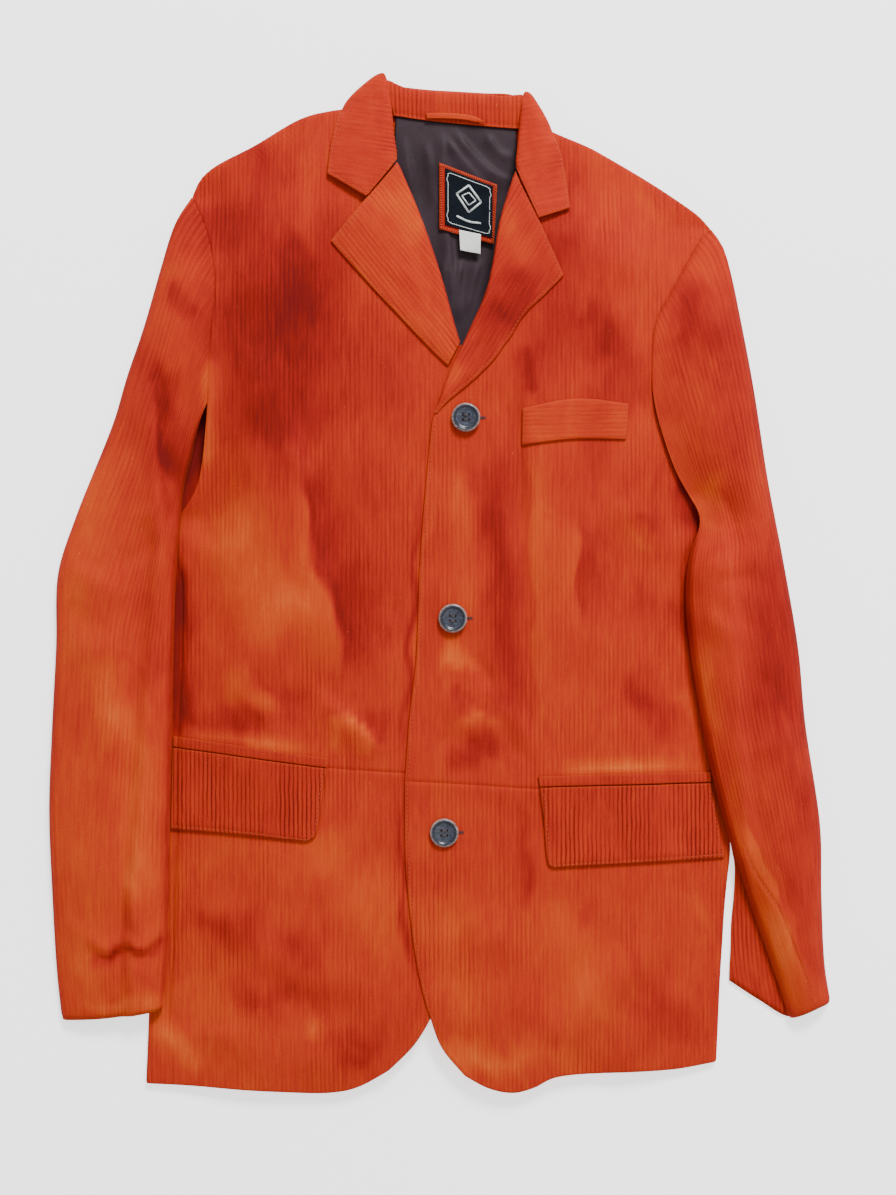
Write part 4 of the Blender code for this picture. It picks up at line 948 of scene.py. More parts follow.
def make_fronts():
    half = SEAM / 2
    seam, arm = fine(SIDE_RUN, FRONT_STEP, end=False)[:-1], fine(ARM_RUN, 4.5, start=False)
    vs = run_on(seam, arm, 0.42)
    lower_vs = fine(LOWER_RUN, FRONT_STEP)
    pieces = {}
    # Right front, under: from the side seam across to its hidden edge.
    us = fine(FRONT_WIDTH, ACROSS, end=False)
    waist = smooth(RIGHT_WAIST)
    roll = shifted(chain(RIGHT_ROLL, RIGHT_NECK[:2]), -ROLL_INSET)
    edge = np.vstack([smooth([waist[-1] + (0, half)] + RIGHT_HIDDEN_EDGE[1:]), roll,
                      smooth([roll[-1], RIGHT_NECK[2], RIGHT_NECK[3]])])
    outer = smooth([waist[0] + (0, half)] + RIGHT_SIDE[4:])
    grids = {"front_right_upper": patch_between(
        along(shifted(waist, 0, half), us), along(RIGHT.shoulder, us),
        joined(outer, seam, RIGHT.armhole, arm), along(edge, vs), us, vs)}
    grids["front_right_lower"] = patch(
        smooth(RIGHT_HEM), shifted(waist, 0, -half), smooth(RIGHT_SIDE[:4] + [waist[0] - (0, half)]),
        smooth(RIGHT_LOWER_EDGE[:-1] + [waist[-1] - (0, half)]), us, lower_vs)
    # Left front, over: from its edge across to the side seam.
    us = fine(FRONT_WIDTH, ACROSS)
    waist = smooth(LEFT_WAIST)
    roll = chain(LEFT_ROLL, LEFT_NECK[:2])
    roll[:, 0] += ROLL_INSET * soft_step((roll[:, 1] - roll[0, 1]) / 16)
    edge = np.vstack([smooth([waist[0] + (0, half)] + LEFT_FRONT_EDGE[1:]), roll,
                      smooth([roll[-1], LEFT_NECK[2]])])
    outer = smooth([waist[-1] + (0, half)] + LEFT_SIDE[5:])
    grids["front_left_upper"] = patch_between(
        along(shifted(waist, 0, half), us), along(LEFT.shoulder, us), along(edge, vs),
        joined(outer, seam, LEFT.armhole, arm), us, vs)
    grids["front_left_lower"] = patch(
        smooth(LEFT_HEM), shifted(waist, 0, -half), smooth(LEFT_LOWER_EDGE[:-1] + [waist[0] - (0, half)]),
        smooth(LEFT_SIDE[:4] + [waist[-1] - (0, half)]), us, lower_vs)
    for node, (x, y) in grids.items():
        flat, turned, stitched, seamed = FRONTS[node]
        z = front_height(node)(x, y)
        if node == "front_left_upper":
            hollow = soft_step((y - 44) / 14) * soft_step((168 - y) / 50)
            z = z - 4.3 * hollow * bell(distance(x, y, LEFT.armhole), 11)
        cloth = Cloth(x, y, z, rib=rib_strength(x, y), turned=turned, stitched=stitched, seamed=seamed)
        nap = nap_and_shade_at(x, y, NAP_AND_SHADE_STROKES + BODY_SIDE_SHADE_STROKES) + strokes(x, y, STRAIGHT_TONE_AND_SHADE)
        sew(node, cloth, SUEDE, nap=nap)
        pieces[node] = cloth
    return pieces


def sleeve_z(side, x, y, us, attached):
    width = np.hypot(x[:, -1] - x[:, 0], y[:, -1] - y[:, 0])[:, None]
    near = np.minimum(us, 1 - us)[None, :] * width
    loft = SLEEVE_LOFT * soft_step((y[:, :1] + 560) / 420) + strokes(x, y, SLEEVE_FOLDS) + waves(x, y)
    arch = 0.36 * quarter_round(near / 7) + 0.64 * np.sin(math.pi * us)[None, :] ** 0.9
    base = side.sleeve_base(x, y)
    away = soft_step((distance(x, y, attached) - SEAM) / 50)
    return (base + (1 - away) * np.maximum(side.armhole_z(y) - base, EDGE_Z + 2.5 * LIE)
            + away * (EDGE_Z + loft * arch))


def eased(line, passes):
    """The line with its corners rounded, and its two ends where they were."""
    line = line.copy()
    for _ in range(passes):
        line[1:-1] = (line[:-2] + 2 * line[1:-1] + line[2:]) / 4
    return line


def split_armhole(line, share):
    return along(line, np.linspace(0, share, 60)), along(line, np.linspace(share, 1, 90))


SLEEVE_WIDTH, SLEEVE_LENGTH = 92.0, 560.0


def make_sleeve(name, side, outer, inner, under_inner, cuff, under_cuff, armhole, under_armhole, pit_joined):
    share = LEFT_PIT if pit_joined else RIGHT_PIT
    pit, head = split_armhole(armhole, share)
    if pit_joined:
        pit[:, 0] -= 3.0 * np.sin(math.pi * np.linspace(0, 1, len(pit)))
    under_pit, under_head = split_armhole(under_armhole, share)
    outer = smooth(outer[:-1] + [tuple(head[-1])])
    inner = list(map(tuple, shifted(inner, INNER_LAP * side.outward * -1)))
    under_outer = smooth(list(map(tuple, outer[::8][:-1])) + [tuple(under_head[-1])])
    free_rows, pit_rows = np.linspace(0, 1, 128)[:-1], np.linspace(0, 1, 30)
    us = fine(SLEEVE_WIDTH, ACROSS)
    if pit_joined:
        inner_at = joined(smooth(inner + [tuple(pit[0])]), free_rows, pit, pit_rows)
        inner_at = eased(inner_at, 26)
        vs = run_on(free_rows, pit_rows, PIT_SHARE)
        attached = np.vstack([pit, head])
    else:
        vs = fine(SLEEVE_LENGTH, ALONG, False)
        inner_at = along(smooth(inner[:-1] + [tuple(head[0])]), vs)
        attached = head
    x, y = patch_between(along(smooth(cuff), us), along(head[::-1], us), along(outer, vs), inner_at, us, vs)
    s = np.broadcast_to(us * SLEEVE_WIDTH, x.shape) + (7.0 if name == "left" else 0.0)
    t = np.broadcast_to(vs[:, None] * SLEEVE_LENGTH, x.shape)
    turned = ("low",) if pit_joined else ("low", "last")
    top = Cloth(x, y, sleeve_z(side, x, y, us, attached), s, t, rib=rib_strength(x, y) * SLEEVE_RIBS,
                turned=turned, seamed=("high",))
    sew(f"sleeve_{name}_top", top, SUEDE, nap=nap_and_shade_at(x, y))
    us = fine(SLEEVE_WIDTH, 1.3, False, False)
    free_rows, pit_rows = np.linspace(0, 1, 64)[:-1], np.linspace(0, 1, 16)
    inner_at = eased(joined(smooth(under_inner + [tuple(under_pit[0])]), free_rows, under_pit, pit_rows), 3)
    vs = run_on(free_rows, pit_rows, PIT_SHARE)
    x, y = patch_between(along(smooth(under_cuff), us), along(under_head[::-1], us), along(under_outer, vs),
                         inner_at, us, vs)
    # This piece lies flat, so its cut is its own outline, with the ribs beside the outer edge.
    s = (np.interp(y, under_outer[:, 1], under_outer[:, 0]) - x) * side.outward
    under = Cloth(x, y, side.sleeve_base(x, y) + CLOTH + RIB_HEIGHT / 2, s, y, rib=UNDER_RIBS[name])
    sew(f"sleeve_{name}_under", under, SUEDE, tone=-0.06)
    return top


def make_sleeves():
    right = make_sleeve("right", RIGHT, RIGHT_SLEEVE_OUTER, RIGHT_SLEEVE_INNER, RIGHT_UNDER_INNER[:-1],
                        RIGHT_CUFF, RIGHT_CUFF, beside(RIGHT.armhole, -ARM_SEAM),
                        beside(smooth(RIGHT_BACK_ARMHOLE), ARM_SEAM / 2), False)
    left = make_sleeve("left", LEFT, LEFT_SLEEVE_OUTER, LEFT_SLEEVE_INNER[:-1], LEFT_UNDER_INNER[:-1],
                       LEFT_CUFF, LEFT_UNDER_CUFF, beside(LEFT.armhole, ARM_SEAM),
                       beside(LEFT.armhole, -ARM_SEAM / 2), True)
    return {"sleeve_right": right, "sleeve_left": left}


# A lapel's turn at the roll line: millimetres out, and rise over the front's upper face.
LAPEL_TURN = [(0.3, -0.7), (0.25, 0.0), (0.35, 0.7), (0.7, 1.4), (1.3, 2.0), (2.1, 2.6), (3.0, 2.9),
              (4.4, 3.05)]
LAPEL_LIFT = 2.6
LAPEL_TIP_RISE = 0.6  # over the front, where the lapel narrows to nothing


def make_lapel(node, roll, outer, rib_slope, tone, flat):
    rows = fine(200, 1.5, False)
    start, end = along(smooth(roll), rows), along(smooth(outer), rows)
    width = np.linalg.norm(end - start, axis=1)[:, None]
    way = (end - start) / width
    turn = np.array(LAPEL_TURN)
    reach = turn[-1, 0] * np.minimum(1, 0.5 * width / turn[-1, 0])
    fractions = fine(70, 1.5, False)[1:]
    fold = soft_step(width / 11)
    even = reach * np.linspace(0, 1, len(turn))[None, :]
    turned_out = even + (turn[None, :, 0] * reach / turn[-1, 0] - even) * fold
    out = np.hstack([turned_out, reach + (width - reach) * fractions[None, :]])
    soft = LAPEL_LIFT * np.clip(width / 70, 0, 1) * np.sin(math.pi * fractions)[None, :]
    settle = OVER + 0.15 + (turn[-1, 1] - OVER - 0.15) * (1 - soft_step(fractions / 0.2))[None, :]
    rise = np.hstack([np.repeat(turn[None, :, 1], len(rows), 0), settle + soft])
    rise = LAPEL_TIP_RISE + (rise - LAPEL_TIP_RISE) * fold
    x = start[:, :1] + way[:, :1] * out
    y = start[:, 1:] + way[:, 1:] * out
    z = front_height(node)(x, y) + rise + strokes(x, y, LAPEL_FOLDS)
    s, t = rib_ways(x, y, rib_slope)
    ribs = np.clip(LAPEL_RIBS + strokes(x, y, LAPEL_WORN), 0.1, 1)
    cloth = Cloth(x, y, z, s, t, rib=ribs, turned=("last", "high"), stitched=("last", "high"), pressed=fold)
    sew(node, cloth, SUEDE, tone=tone, nap=strokes(x, y, LAPEL_NAP))
    return cloth


LAPEL_WORN = [
    ([(8, 170), (24, 196), (34, 226)], 10, 8, 0.4),
    ([(50, 180), (76, 220)], 16, 16, -0.3),
    ([(-10, 200), (-30, 240), (-40, 280)], 14, 14, 0.2),
]
LAPEL_NAP = [
    ([(-10, 260), (-26, 280), (-34, 310)], 16, 14, 0.5),
    ([(-60, 250), (-40, 270), (-30, 290)], 12, 12, -0.25),
    ([(-30, 206), (-10, 186)], 10, 10, 0.25),
    ([(20, 160), (36, 190), (44, 240)], 12, 12, -0.35),
    ([(46, 300), (60, 260), (80, 230)], 8, 12, 0.35),
    ([(48, 186), (62, 220), (64, 250)], 16, 16, -0.8),
    ([(4, 150), (16, 172)], 7, 7, 0.4),
]
LAPEL_FOLDS = [
    ([(-52, 250), (-30, 236), (-6, 222)], 7, 9, 0.8),
    ([(40, 176), (36, 200), (44, 232)], 8, 7, 0.9),
    ([(60, 205), (52, 196), (40, 190)], 5, 5, 0.7),
]


# Each lapel: its roll line, its outer edge, the slope of its ribs, its tone and the sheet it is cut from.
LAPELS = {
    "lapel_left": (
        [(-4.6, 129.4), (7.4, 163), (17, 183), (35, 224), (40, 245), (46, 280), (57.8, 318.6)],
        [(-3.0, 128.8), (5, 137), (25, 154), (42, 171), (49, 181), (55, 189), (65, 205), (81.5, 221.5),
         (95.6, 236)], 60, -0.08, (0.075, 0.2)),
    "lapel_right": (
        [(15.6, 184.6), (11.5, 198), (1, 236), (-15, 283), (-33, 325.6)],
        [(5.6, 166), (-4.4, 175.5), (-24, 196), (-42, 215), (-64, 239), (-85, 263)], -52, 0.04, (0.08, 0.15)),
}
# The collar behind the neck: points of its roll and, across from each, of its free edge.
COLLAR_BEHIND = [(-41.4, 391.4, -74.4, 366.8), (-35, 388.5, -62, 352), (-12, 385.5, -25, 338),
                 (12, 384, 8, 336), (36, 382.6, 44, 335), (55, 381.6, 72, 339), (63.2, 377.6, 84.4, 348.6)]
COLLAR_FOLD_Z, COLLAR_WIDTH, HIDDEN_Z = 5.6, 48.0, 0.45


# The collar's two visible leaves: roll, free edge, front end, and fold behind the neck.
COLLAR_LEAVES = {
    "right": ([(-33.2, 326.9), (-36, 350), (-38.6, 376), (-42, 393.5)],
              [(-88, 316), (-86, 335), (-83, 352), (-78, 368.6)], [(-33.2, 326.9), (-57, 297), (-88, 316)],
              [(-42, 393.5), (-44.2, 398), (-49, 397.4), (-61, 388.8), (-71.6, 378.6), (-78, 368.6)]),
    "left": ([(58.4, 319.8), (59.2, 334), (61, 352), (62.6, 368), (64, 379.5)],
             [(101, 289.2), (98, 312), (95, 330), (88.4, 349)], [(58.4, 319.8), (75.8, 279.8), (101, 289.2)],
             [(64, 379.5), (66, 383.4), (70, 382.6), (78, 371.5), (84.4, 360), (88.4, 349)]),
}


def collar_leaf(side, us, drop):
    roll, free, end, fold = COLLAR_LEAVES[side]
    fold = smooth(fold)
    x, y = patch(np.array(end), fold, smooth(roll), smooth(free), us, fine(80, 1.1))
    below = np.mean([front_height(side)(x, y + step) for step in range(-12, 13, 4)], axis=0) + 0.7
    z = below + OVER + 1.5 + 2.0 * np.sin(math.pi * us)[None, :] - drop
    return x, y, COLLAR_FOLD_Z + (z - COLLAR_FOLD_Z) * quarter_round(distance(x, y, fold) / 12)


def make_collar_fall():
    us = np.concatenate([np.array([0, 0.4, 1.0, 1.8, 3.0, 5.0]) / COLLAR_WIDTH,
                         fine(COLLAR_WIDTH, 1.5, False)[4:]])
    drop = 3.6 * (1 - quarter_round(us * COLLAR_WIDTH / 5.0))
    right, left = collar_leaf("right", us, drop), collar_leaf("left", us, drop)
    behind = smooth([row + ((0.6, 3.0) if k in (0, len(COLLAR_BEHIND) - 1) else (0.0, 4.4))
                     for k, row in enumerate(COLLAR_BEHIND)], 10)
    rx, ry, fx, fy, low, rise = (behind[:, k:k + 1] for k in range(6))
    hidden = (rx + (fx - rx) * us, ry + (fy - ry) * us,
              HIDDEN_Z + np.clip(low, 0, 1) + rise * (1 - quarter_round(us / 0.12)))
    x, y, z = (np.vstack([right[k], hidden[k], left[k][::-1]]) for k in range(3))
    leaf_rows = len(right[0])

    # In the cut, s runs on round the neck from one end to the other, and t from the roll to the free edge.
    right_s, right_t = rib_ways(right[0], right[1], -8)
    left_s, left_t = rib_ways(left[0][::-1], left[1][::-1], 14)
    run = [run_up(np.hypot(np.diff(a[:, 0]), np.diff(b[:, 0])))[:, None] for a, b in ((rx, ry), (fx, fy))]
    rows_run = run[0] + (run[1] - run[0]) * us
    left_s = right_s[-1].mean() + rows_run[-1].mean() + left_s[0].mean() - left_s
    left_t = left_t - left_t[0, 0] - right_t[-1, 0]
    # The hidden stretch fans out at its free edge, and takes up each leaf's slant over its first rows.
    part = rows_run / rows_run[-1]
    hidden_s = right_s[-1].mean() + rows_run
    hidden_t = -right_t[-1, 0] + us * np.hypot(fx - rx, fy - ry)
    near_right, near_left = bell(part, 0.12), bell(1 - part, 0.12)
    hidden_s = hidden_s + near_right * (right_s[-1] - hidden_s[0]) + near_left * (left_s[0] - hidden_s[-1])
    hidden_t = hidden_t + near_right * (-right_t[-1] - hidden_t[0]) + near_left * (left_t[0] - hidden_t[-1])
    s, t = np.vstack([right_s, hidden_s, left_s]), np.vstack([-right_t, hidden_t, left_t])
    ribs = np.full(x.shape, 0.2)
    leaf_x, leaf_y = x[:leaf_rows], y[:leaf_rows]
    ribs[:leaf_rows] = 0.15 + 0.85 * soft_step((60 + leaf_x) / 30) * soft_step((370 - leaf_y) / 40)
    cloth = Cloth(x, y, z, s, t, rib=ribs, turned=("last", "low", "high"), stitched=("last", "low", "high"))
    cloth.flank_shade = np.zeros(x.shape)
    sew("collar_fall", cloth, SUEDE, tone=-0.04)
    return cloth


STAND_Z = [(0, 7.9), (0.35, 8.9), (0.65, 9.6), (0.82, 9.3), (0.95, 8.4), (1, 6.9)]


def make_collar_stand():
    us, vs = fine(100, 0.9, False, False), fine(26, 1.3, True, True)
    seam = smooth(BACK_NECK[2:7])
    roll = smooth([(-41, 392.5), (-28, 386.6), (-12, 384), (25, 382), (49.5, 380), (61.5, 381)])
    seam[0, 0], roll[0, 0] = seam[0, 0] - 1.6, roll[0, 0] - 1.6
    seam[-1, 0], roll[-1, 0] = seam[-1, 0] + 3.6, roll[-1, 0] + 2.6
    x, y = patch(seam, roll, np.array([seam[0], roll[0]]), np.array([seam[-1], roll[-1]]), us, vs)
    z = np.broadcast_to(table(STAND_Z, vs)[:, None], x.shape) + 0.25 * np.sin(x / 9) * np.sin(vs * 3)[:, None]
    sew("collar_stand", Cloth(x, y, z, stitched=("low",)), SUEDE, tone=-0.02)


def make_hanger_loop():
    line = along(smooth([(-11, 363.4), (5, 363.2), (20, 362), (35, 358.6)]), np.linspace(0, 1, 40))
    half = 1.8 * soft_step(np.linspace(1, 0, 40) / 0.2)[:, None] + 0.4
    vs = np.linspace(-1, 1, 9)[None, :]
    x = line[:, :1] + 0 * vs
    y = line[:, 1:] + half * vs
    z = 10.6 + 0.5 * np.sin(np.linspace(0, math.pi, 40))[:, None] - 0.3 * vs ** 2
    sew("hanger_loop", Cloth(x, y, z, y, x, rib=0.2), SUEDE, LOOP_CLOTH, tone=0.08)


def lying(node, low, high, size, flat, thickness=CLOTH, first=None, last=None, turned=(), stitched=(),
          tone=0.0, level_ribs=False, rib=1.0):
    """A piece that lies on a front: its points are the front's own, moved out."""
    low, high = smooth(low), smooth(high)
    first = smooth(first or [low[0], high[0]])
    last = smooth(last or [low[-1], high[-1]])
    us, vs = fine(size[0], ACROSS), fine(size[1], ACROSS if level_ribs else 2.2)
    x, y = patch(low, high, first, last, us, vs)
    s, t = (y - 0.03 * x, x) if level_ribs else (x, y)
    z = front_height(node)(x, y) + POCKET_LIE + thickness
    cloth = Cloth(x, y, z, s, t, rib=rib, turned=turned, stitched=stitched)
    sew(node, cloth, SUEDE, thickness, tone, 0.3 * nap_and_shade_at(x, y))
    return cloth


EVERY_FREE = ("low", "first", "last")  # every edge but the one that is sewn on
POCKETS = {
    "welt_right": {
        "low": [(-209.4, -130), (-150, -137), (-88, -145)],
        "high": [(-209, -121.5), (-150, -129), (-88, -137.5)],
        "size": (122, 8), "flat": (0.01, 0.125), "turned": ("low",), "tone": -0.06, "rib": 0.8},
    "welt_left": {
        "low": [(77, -159.5), (140, -158.3), (212, -157.5)],
        "high": [(76, -151.5), (140, -150), (212, -149.6)],
        "size": (136, 8), "flat": (0.01, 0.14), "turned": ("low",), "tone": -0.06, "rib": 0.8},
    "flap_right": {
        "low": [(-210.8, -194), (-150, -197.5), (-104, -202)],
        "high": [(-209.6, -130.6), (-150, -137.6), (-88, -145.6)],
        "last": [(-104, -202), (-98, -199), (-95, -192), (-92, -170), (-88, -145.6)],
        "size": (118, 62), "flat": (0.125, 0.075), "thickness": FLAP_CLOTH, "turned": ("low", "last"),
        "stitched": ("low", "last"), "tone": -0.07, "rib": 1.5},
    "flap_left": {
        "low": [(87, -222), (150, -219), (222.6, -216)], "high": [(77, -160.2), (140, -159), (212, -158.2)],
        "first": [(87, -222), (83.5, -219), (82, -210), (80.5, -190), (77, -160.2)],
        "size": (136, 60), "flat": (0.15, 0.065), "thickness": FLAP_CLOTH, "turned": EVERY_FREE,
        "stitched": EVERY_FREE, "tone": -0.07, "rib": 1.5},
    "chest_welt": {
        "low": [(62.4, 104.5), (105, 109.5), (144, 109.5)], "high": [(63, 133), (105, 140.6), (146, 137)],
        "size": (82, 30), "flat": (0.035, 0.085), "turned": (*EVERY_FREE, "high"), "tone": 0.06,
        "level_ribs": True, "rib": 0.35},
}
# The label's pieces: corners, height over the lining, wall, curl and the sheet each is cut from.
LABEL_BASE = LIE + 0.5
LABELS = {
    "label_border": (
        [(-1, 275.5), (42, 263.5), (44.5, 310), (-1, 327)],
        LABEL_BASE + 1.2 + 1.4, BORDER_CLOTH, 2.0, (0.046, 0.064)),
    "label": (
        [(3.6, 278.6), (40.4, 268), (41, 308.6), (3.6, 322.4)],
        LABEL_BASE + SEAM + 2.2 + 1.5, LABEL_CLOTH, 2.0, (0.038, 0.055)),
    "size_tag": (
        [(15.4, 258.5), (31.2, 255.5), (31.6, 271), (14.6, 274.5)],
        LABEL_BASE + 2 * SEAM + 3.2 + 1.6, LABEL_CLOTH, 3.0, (0.018, 0.02)),
}


def make_label(node, finish):
    corners, top, thickness, curl, flat = LABELS[node]
    a, b, c, d = np.array(corners, float)
    us, vs = fine(45, 1.6), fine(50, 1.6)
    x, y = patch(np.array([a, b]), np.array([d, c]), np.array([a, d]), np.array([b, c]), us, vs)
    z = lining_z(x, y) + top + curl * (us[None, :] - 0.5) ** 2 + 0.4 * np.sin(math.pi * vs)[:, None]
    cloth = Cloth(x, y, z, rib=0.0)
    cloth.p[..., 2] -= 0.35 * (1 - quarter_round(cloth.edge / 1.0))
    sew(node, cloth, finish, thickness, tone=-0.15)
    return cloth


# Threads ---

def sides_of(way):
    """The unit vectors sideways and upward from a way, or from each of several."""
    side = np.cross(way, (0.0, 0.0, 1.0))
    side = side / np.maximum(np.linalg.norm(side, axis=-1, keepdims=True), 1e-9)
    up = np.cross(side, way)
    return side, up / np.maximum(np.linalg.norm(up, axis=-1, keepdims=True), 1e-9)


def add_tube(points, faces, middles, radii, side, up, sides=6):
    """Adds rings of points about the middles, walls between the rings, and a cap at each end."""
    start = len(points)
    for middle, radius, a, b in zip(middles, radii, side, up):
        for k in range(sides):
            angle = 2 * math.pi * k / sides
            points.append(middle + radius * (math.cos(angle) * a + math.sin(angle) * b))
    last = len(points) - sides
    for ring in range(start, last, sides):
        for k in range(sides):
            a, b = ring + k, ring + (k + 1) % sides
            faces.append((a, b, b + sides, a + sides))
    for cap in (range(start, start + sides)[::-1], range(last, last + sides)):
        faces += [(cap[0], *cap[k:k + 3]) for k in range(1, sides - 2, 2)]


def put_threads(name, points, faces, finish):
    join(add_mesh(name, to_world(np.array(points)), faces, finish))


# A stitch's rings: how far along it, share of the full radius, and dip.
STITCH_SHAPE = [(0, 0.35, -0.35), (0.22, 1, 0), (0.78, 1, 0), (1, 0.35, -0.35)]


def sew_rows(name, rows, finish):
    """All stitches of several seam lines as one mesh: short bars that dip into the cloth at both ends."""
    points, faces = [], []
    for row in rows:
        total = length_of(row)
        for k in range(int(total / STITCH_STEP)):
            begin = k * STITCH_STEP + random.uniform(-0.12, 0.12)
            start, end = along(row, np.array([begin, begin + STITCH_LENGTH]).clip(0, total) / total)
            way = end - start
            side, up = sides_of(way)
            middles = [start + way * share + up * (dip * THREAD_R + 0.1) for share, size, dip in STITCH_SHAPE]
            radii = [THREAD_R * size for share, size, dip in STITCH_SHAPE]
            add_tube(points, faces, middles, radii, [side] * len(radii), [up] * len(radii))
    put_threads(name, points, faces, finish)


def make_tubes(name, rows, radius, finish, sides=6):
    """Round threads along lines, as one mesh."""
    points, faces = [], []
    for row in rows:
        row = smooth(row, 5)
        add_tube(points, faces, row, [radius] * len(row), *sides_of(np.gradient(row, axis=0)), sides)
    put_threads(name, points, faces, finish)


WHIP_INNER, WHIP_OUTER, WHIP_STEP, WHIP_R = 2.6, 0.15, 1.9, 0.3


def make_whip_stitches(border):
    """Slanted threads over the edge of the label's border, all round."""
    bars = []
    for way in ("low", "high", "first", "last"):
        inner, outer = border.seam_points(way, WHIP_INNER), border.seam_points(way, WHIP_OUTER)
        total = length_of(outer)
        for share in np.arange(1.2, total - 1.2, WHIP_STEP) / total:
            start, end = along(outer, [share])[0], along(inner, [min(1.0, share + 0.02)])[0]
            start[2] += 0.1
            end[2] += 0.15
            bars.append(np.array([start, (start + end) / 2 + (0, 0, 0.45), end]))
    make_tubes("label_stitching", bars, WHIP_R, THREAD)


def make_label_mark(label):
    """A plain outline and a lozenge over a bar, in pale thread: it stands for no maker."""
    face = label.p
    rows, columns = face.shape[:2]

    def spots(places):
        found = [face[round(v * (rows - 1)), round(u * (columns - 1))] for u, v in places]
        return np.array(found) + (0, 0, 0.28)

    def squared(value):
        return math.copysign(abs(value) ** 0.55, value)

    turn = np.linspace(0, 2 * math.pi, 41)
    bow = 0.41 - 0.035 * np.cos(4 * turn)
    outline = spots([(0.5 + b * squared(math.cos(a)), 0.5 + b * squared(math.sin(a)))
                     for a, b in zip(turn, bow)])
    lozenge = spots([(0.5, 0.8), (0.72, 0.59), (0.5, 0.38), (0.28, 0.59), (0.5, 0.8)])
    inner = spots([(0.5, 0.7), (0.62, 0.59), (0.5, 0.48), (0.38, 0.59), (0.5, 0.7)])
    bar = spots([(0.28, 0.25), (0.5, 0.24), (0.72, 0.25)])
    make_tubes("label_outline", [outline], 0.3, PALE_THREAD)
    make_tubes("label_mark", [lozenge[k:k + 2] for k in range(4)] + [bar], 0.85, PALE_THREAD)
    make_tubes("label_mark_inner", [inner[k:k + 2] for k in range(4)], 0.55, PALE_THREAD)


# Buttons ---

BUTTON_R, HOLE_R, HOLE_OUT = 11.2, 1.1, 2.7  # radii, and each hole's way from the middle
BUTTON_SIDES, HOLE_SIDES, SHARP_ANGLE = 64, 20, 38
DRILL_LENGTH, DRILL_MIDDLE = 0.02, 0.002  # in metres
THREAD_RISE = 2.9  # height of the threads over a button's underside
# From the middle of the top round the rim to the middle of the underside: radius and height.
BUTTON_SECTION = [(0, 2.75), (3.5, 2.78), (6.6, 2.85), (7.5, 3.0), (8.0, 3.4), (8.5, 3.8), (9.1, 4.0),
                  (9.9, 3.95), (10.6, 3.6), (11.05, 3.0), (11.2, 2.3), (11.0, 1.6), (10.3, 0.9), (9.0, 0.35),
                  (7.0, 0.08), (4.0, 0.0), (0, 0.0)]


def make_button(node):
    """Makes a button and gives its middle and its underside's height, in the tables' millimetres."""
    low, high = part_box(node)
    centre = (low + high) / 2
    turns = BUTTON_SIDES
    section = np.array(BUTTON_SECTION)[1:-1]
    angles = np.linspace(0, 2 * math.pi, turns, endpoint=False)
    ring = np.stack([np.cos(angles), np.sin(angles)], axis=1)
    points = [(0.0, 0.0, BUTTON_SECTION[0][1])]
    for r, h in section:
        points += [(r * cx, r * cy, h) for cx, cy in ring]
    points.append((0.0, 0.0, 0.0))
    shape = bmesh.new()
    verts = [shape.verts.new((centre.x + x * MM, centre.y + y * MM, low.z + z * MM)) for x, y, z in points]
    last = 1 + (len(section) - 1) * turns
    for k in range(turns):
        n = (k + 1) % turns
        shape.faces.new((verts[0], verts[1 + k], verts[1 + n]))
        for a in range(1, last, turns):
            b = a + turns
            shape.faces.new((verts[a + k], verts[b + k], verts[b + n], verts[a + n]))
        shape.faces.new((verts[last + k], verts[-1], verts[last + n]))
    made = put_object(f"resin_{node}", to_data(f"resin_{node}", shape))
    made.data.materials.append(HORN)
    drill(made, centre, low.z)
    spots = np.empty(len(made.data.vertices) * 3, np.float32)
    made.data.vertices.foreach_get("co", spots)
    away_x, away_y = spots[0::3] - centre.x, spots[1::3] - centre.y
    put_attribute(made.data, "radius", np.hypot(away_x, away_y) / (BUTTON_R * MM))
    made.data.shade_smooth()
    made.data.set_sharp_from_angle(angle=math.radians(SHARP_ANGLE))
    join(made, node)
    return (centre.x - SHIFT_X) / MM, (centre.y - SHIFT_Y) / MM, low.z / MM


def to_data(name, shape):
    """The mesh of a finished bmesh."""
    mesh = bpy.data.meshes.new(name)
    shape.to_mesh(mesh)
    shape.free()
    return mesh


def drill(made, centre, floor):
    """Cuts the four thread holes through the button."""
    cutters = bmesh.new()
    for k in range(4):
        angle = math.radians(45 + 90 * k)
        place = (centre.x + HOLE_OUT * MM * math.cos(angle), centre.y + HOLE_OUT * MM * math.sin(angle),
                 floor + DRILL_MIDDLE)
        ends = bmesh.ops.create_cone(cutters, cap_ends=True, segments=HOLE_SIDES, radius1=HOLE_R * MM,
                                     radius2=HOLE_R * MM, depth=DRILL_LENGTH)["verts"]
        bmesh.ops.translate(cutters, verts=ends, vec=place)
    tool = put_object("drill", to_data("drill", cutters))
    cut = made.modifiers.new("holes", "BOOLEAN")
    cut.operation, cut.object = "DIFFERENCE", tool
    graph = bpy.context.evaluated_depsgraph_get()
    done = bpy.data.meshes.new_from_object(made.evaluated_get(graph))
    made.modifiers.clear()
    made.data = done
    bpy.data.objects.remove(tool)


def button_threads(spots):
    """Two bundles of three threads, each from hole to hole across a button."""
    rows = []
    across = HOLE_OUT * math.sin(math.radians(45))
    for cx, cy, floor in spots:
        z = floor + THREAD_RISE
        for side in (-1, 1):
            for strand in (-0.55, 0.0, 0.55):
                y = cy + side * across + strand
                rows.append(np.array([(cx - across, y, z - 0.3), (cx - across * 0.5, y, z + 0.35),
                                      (cx + across * 0.5, y, z + 0.35), (cx + across, y, z - 0.3)]))
    return rows


BUTTONHOLE_REACH, BAR_STEP = (11.5, 15.6), 0.7  # the reach is from the button's middle


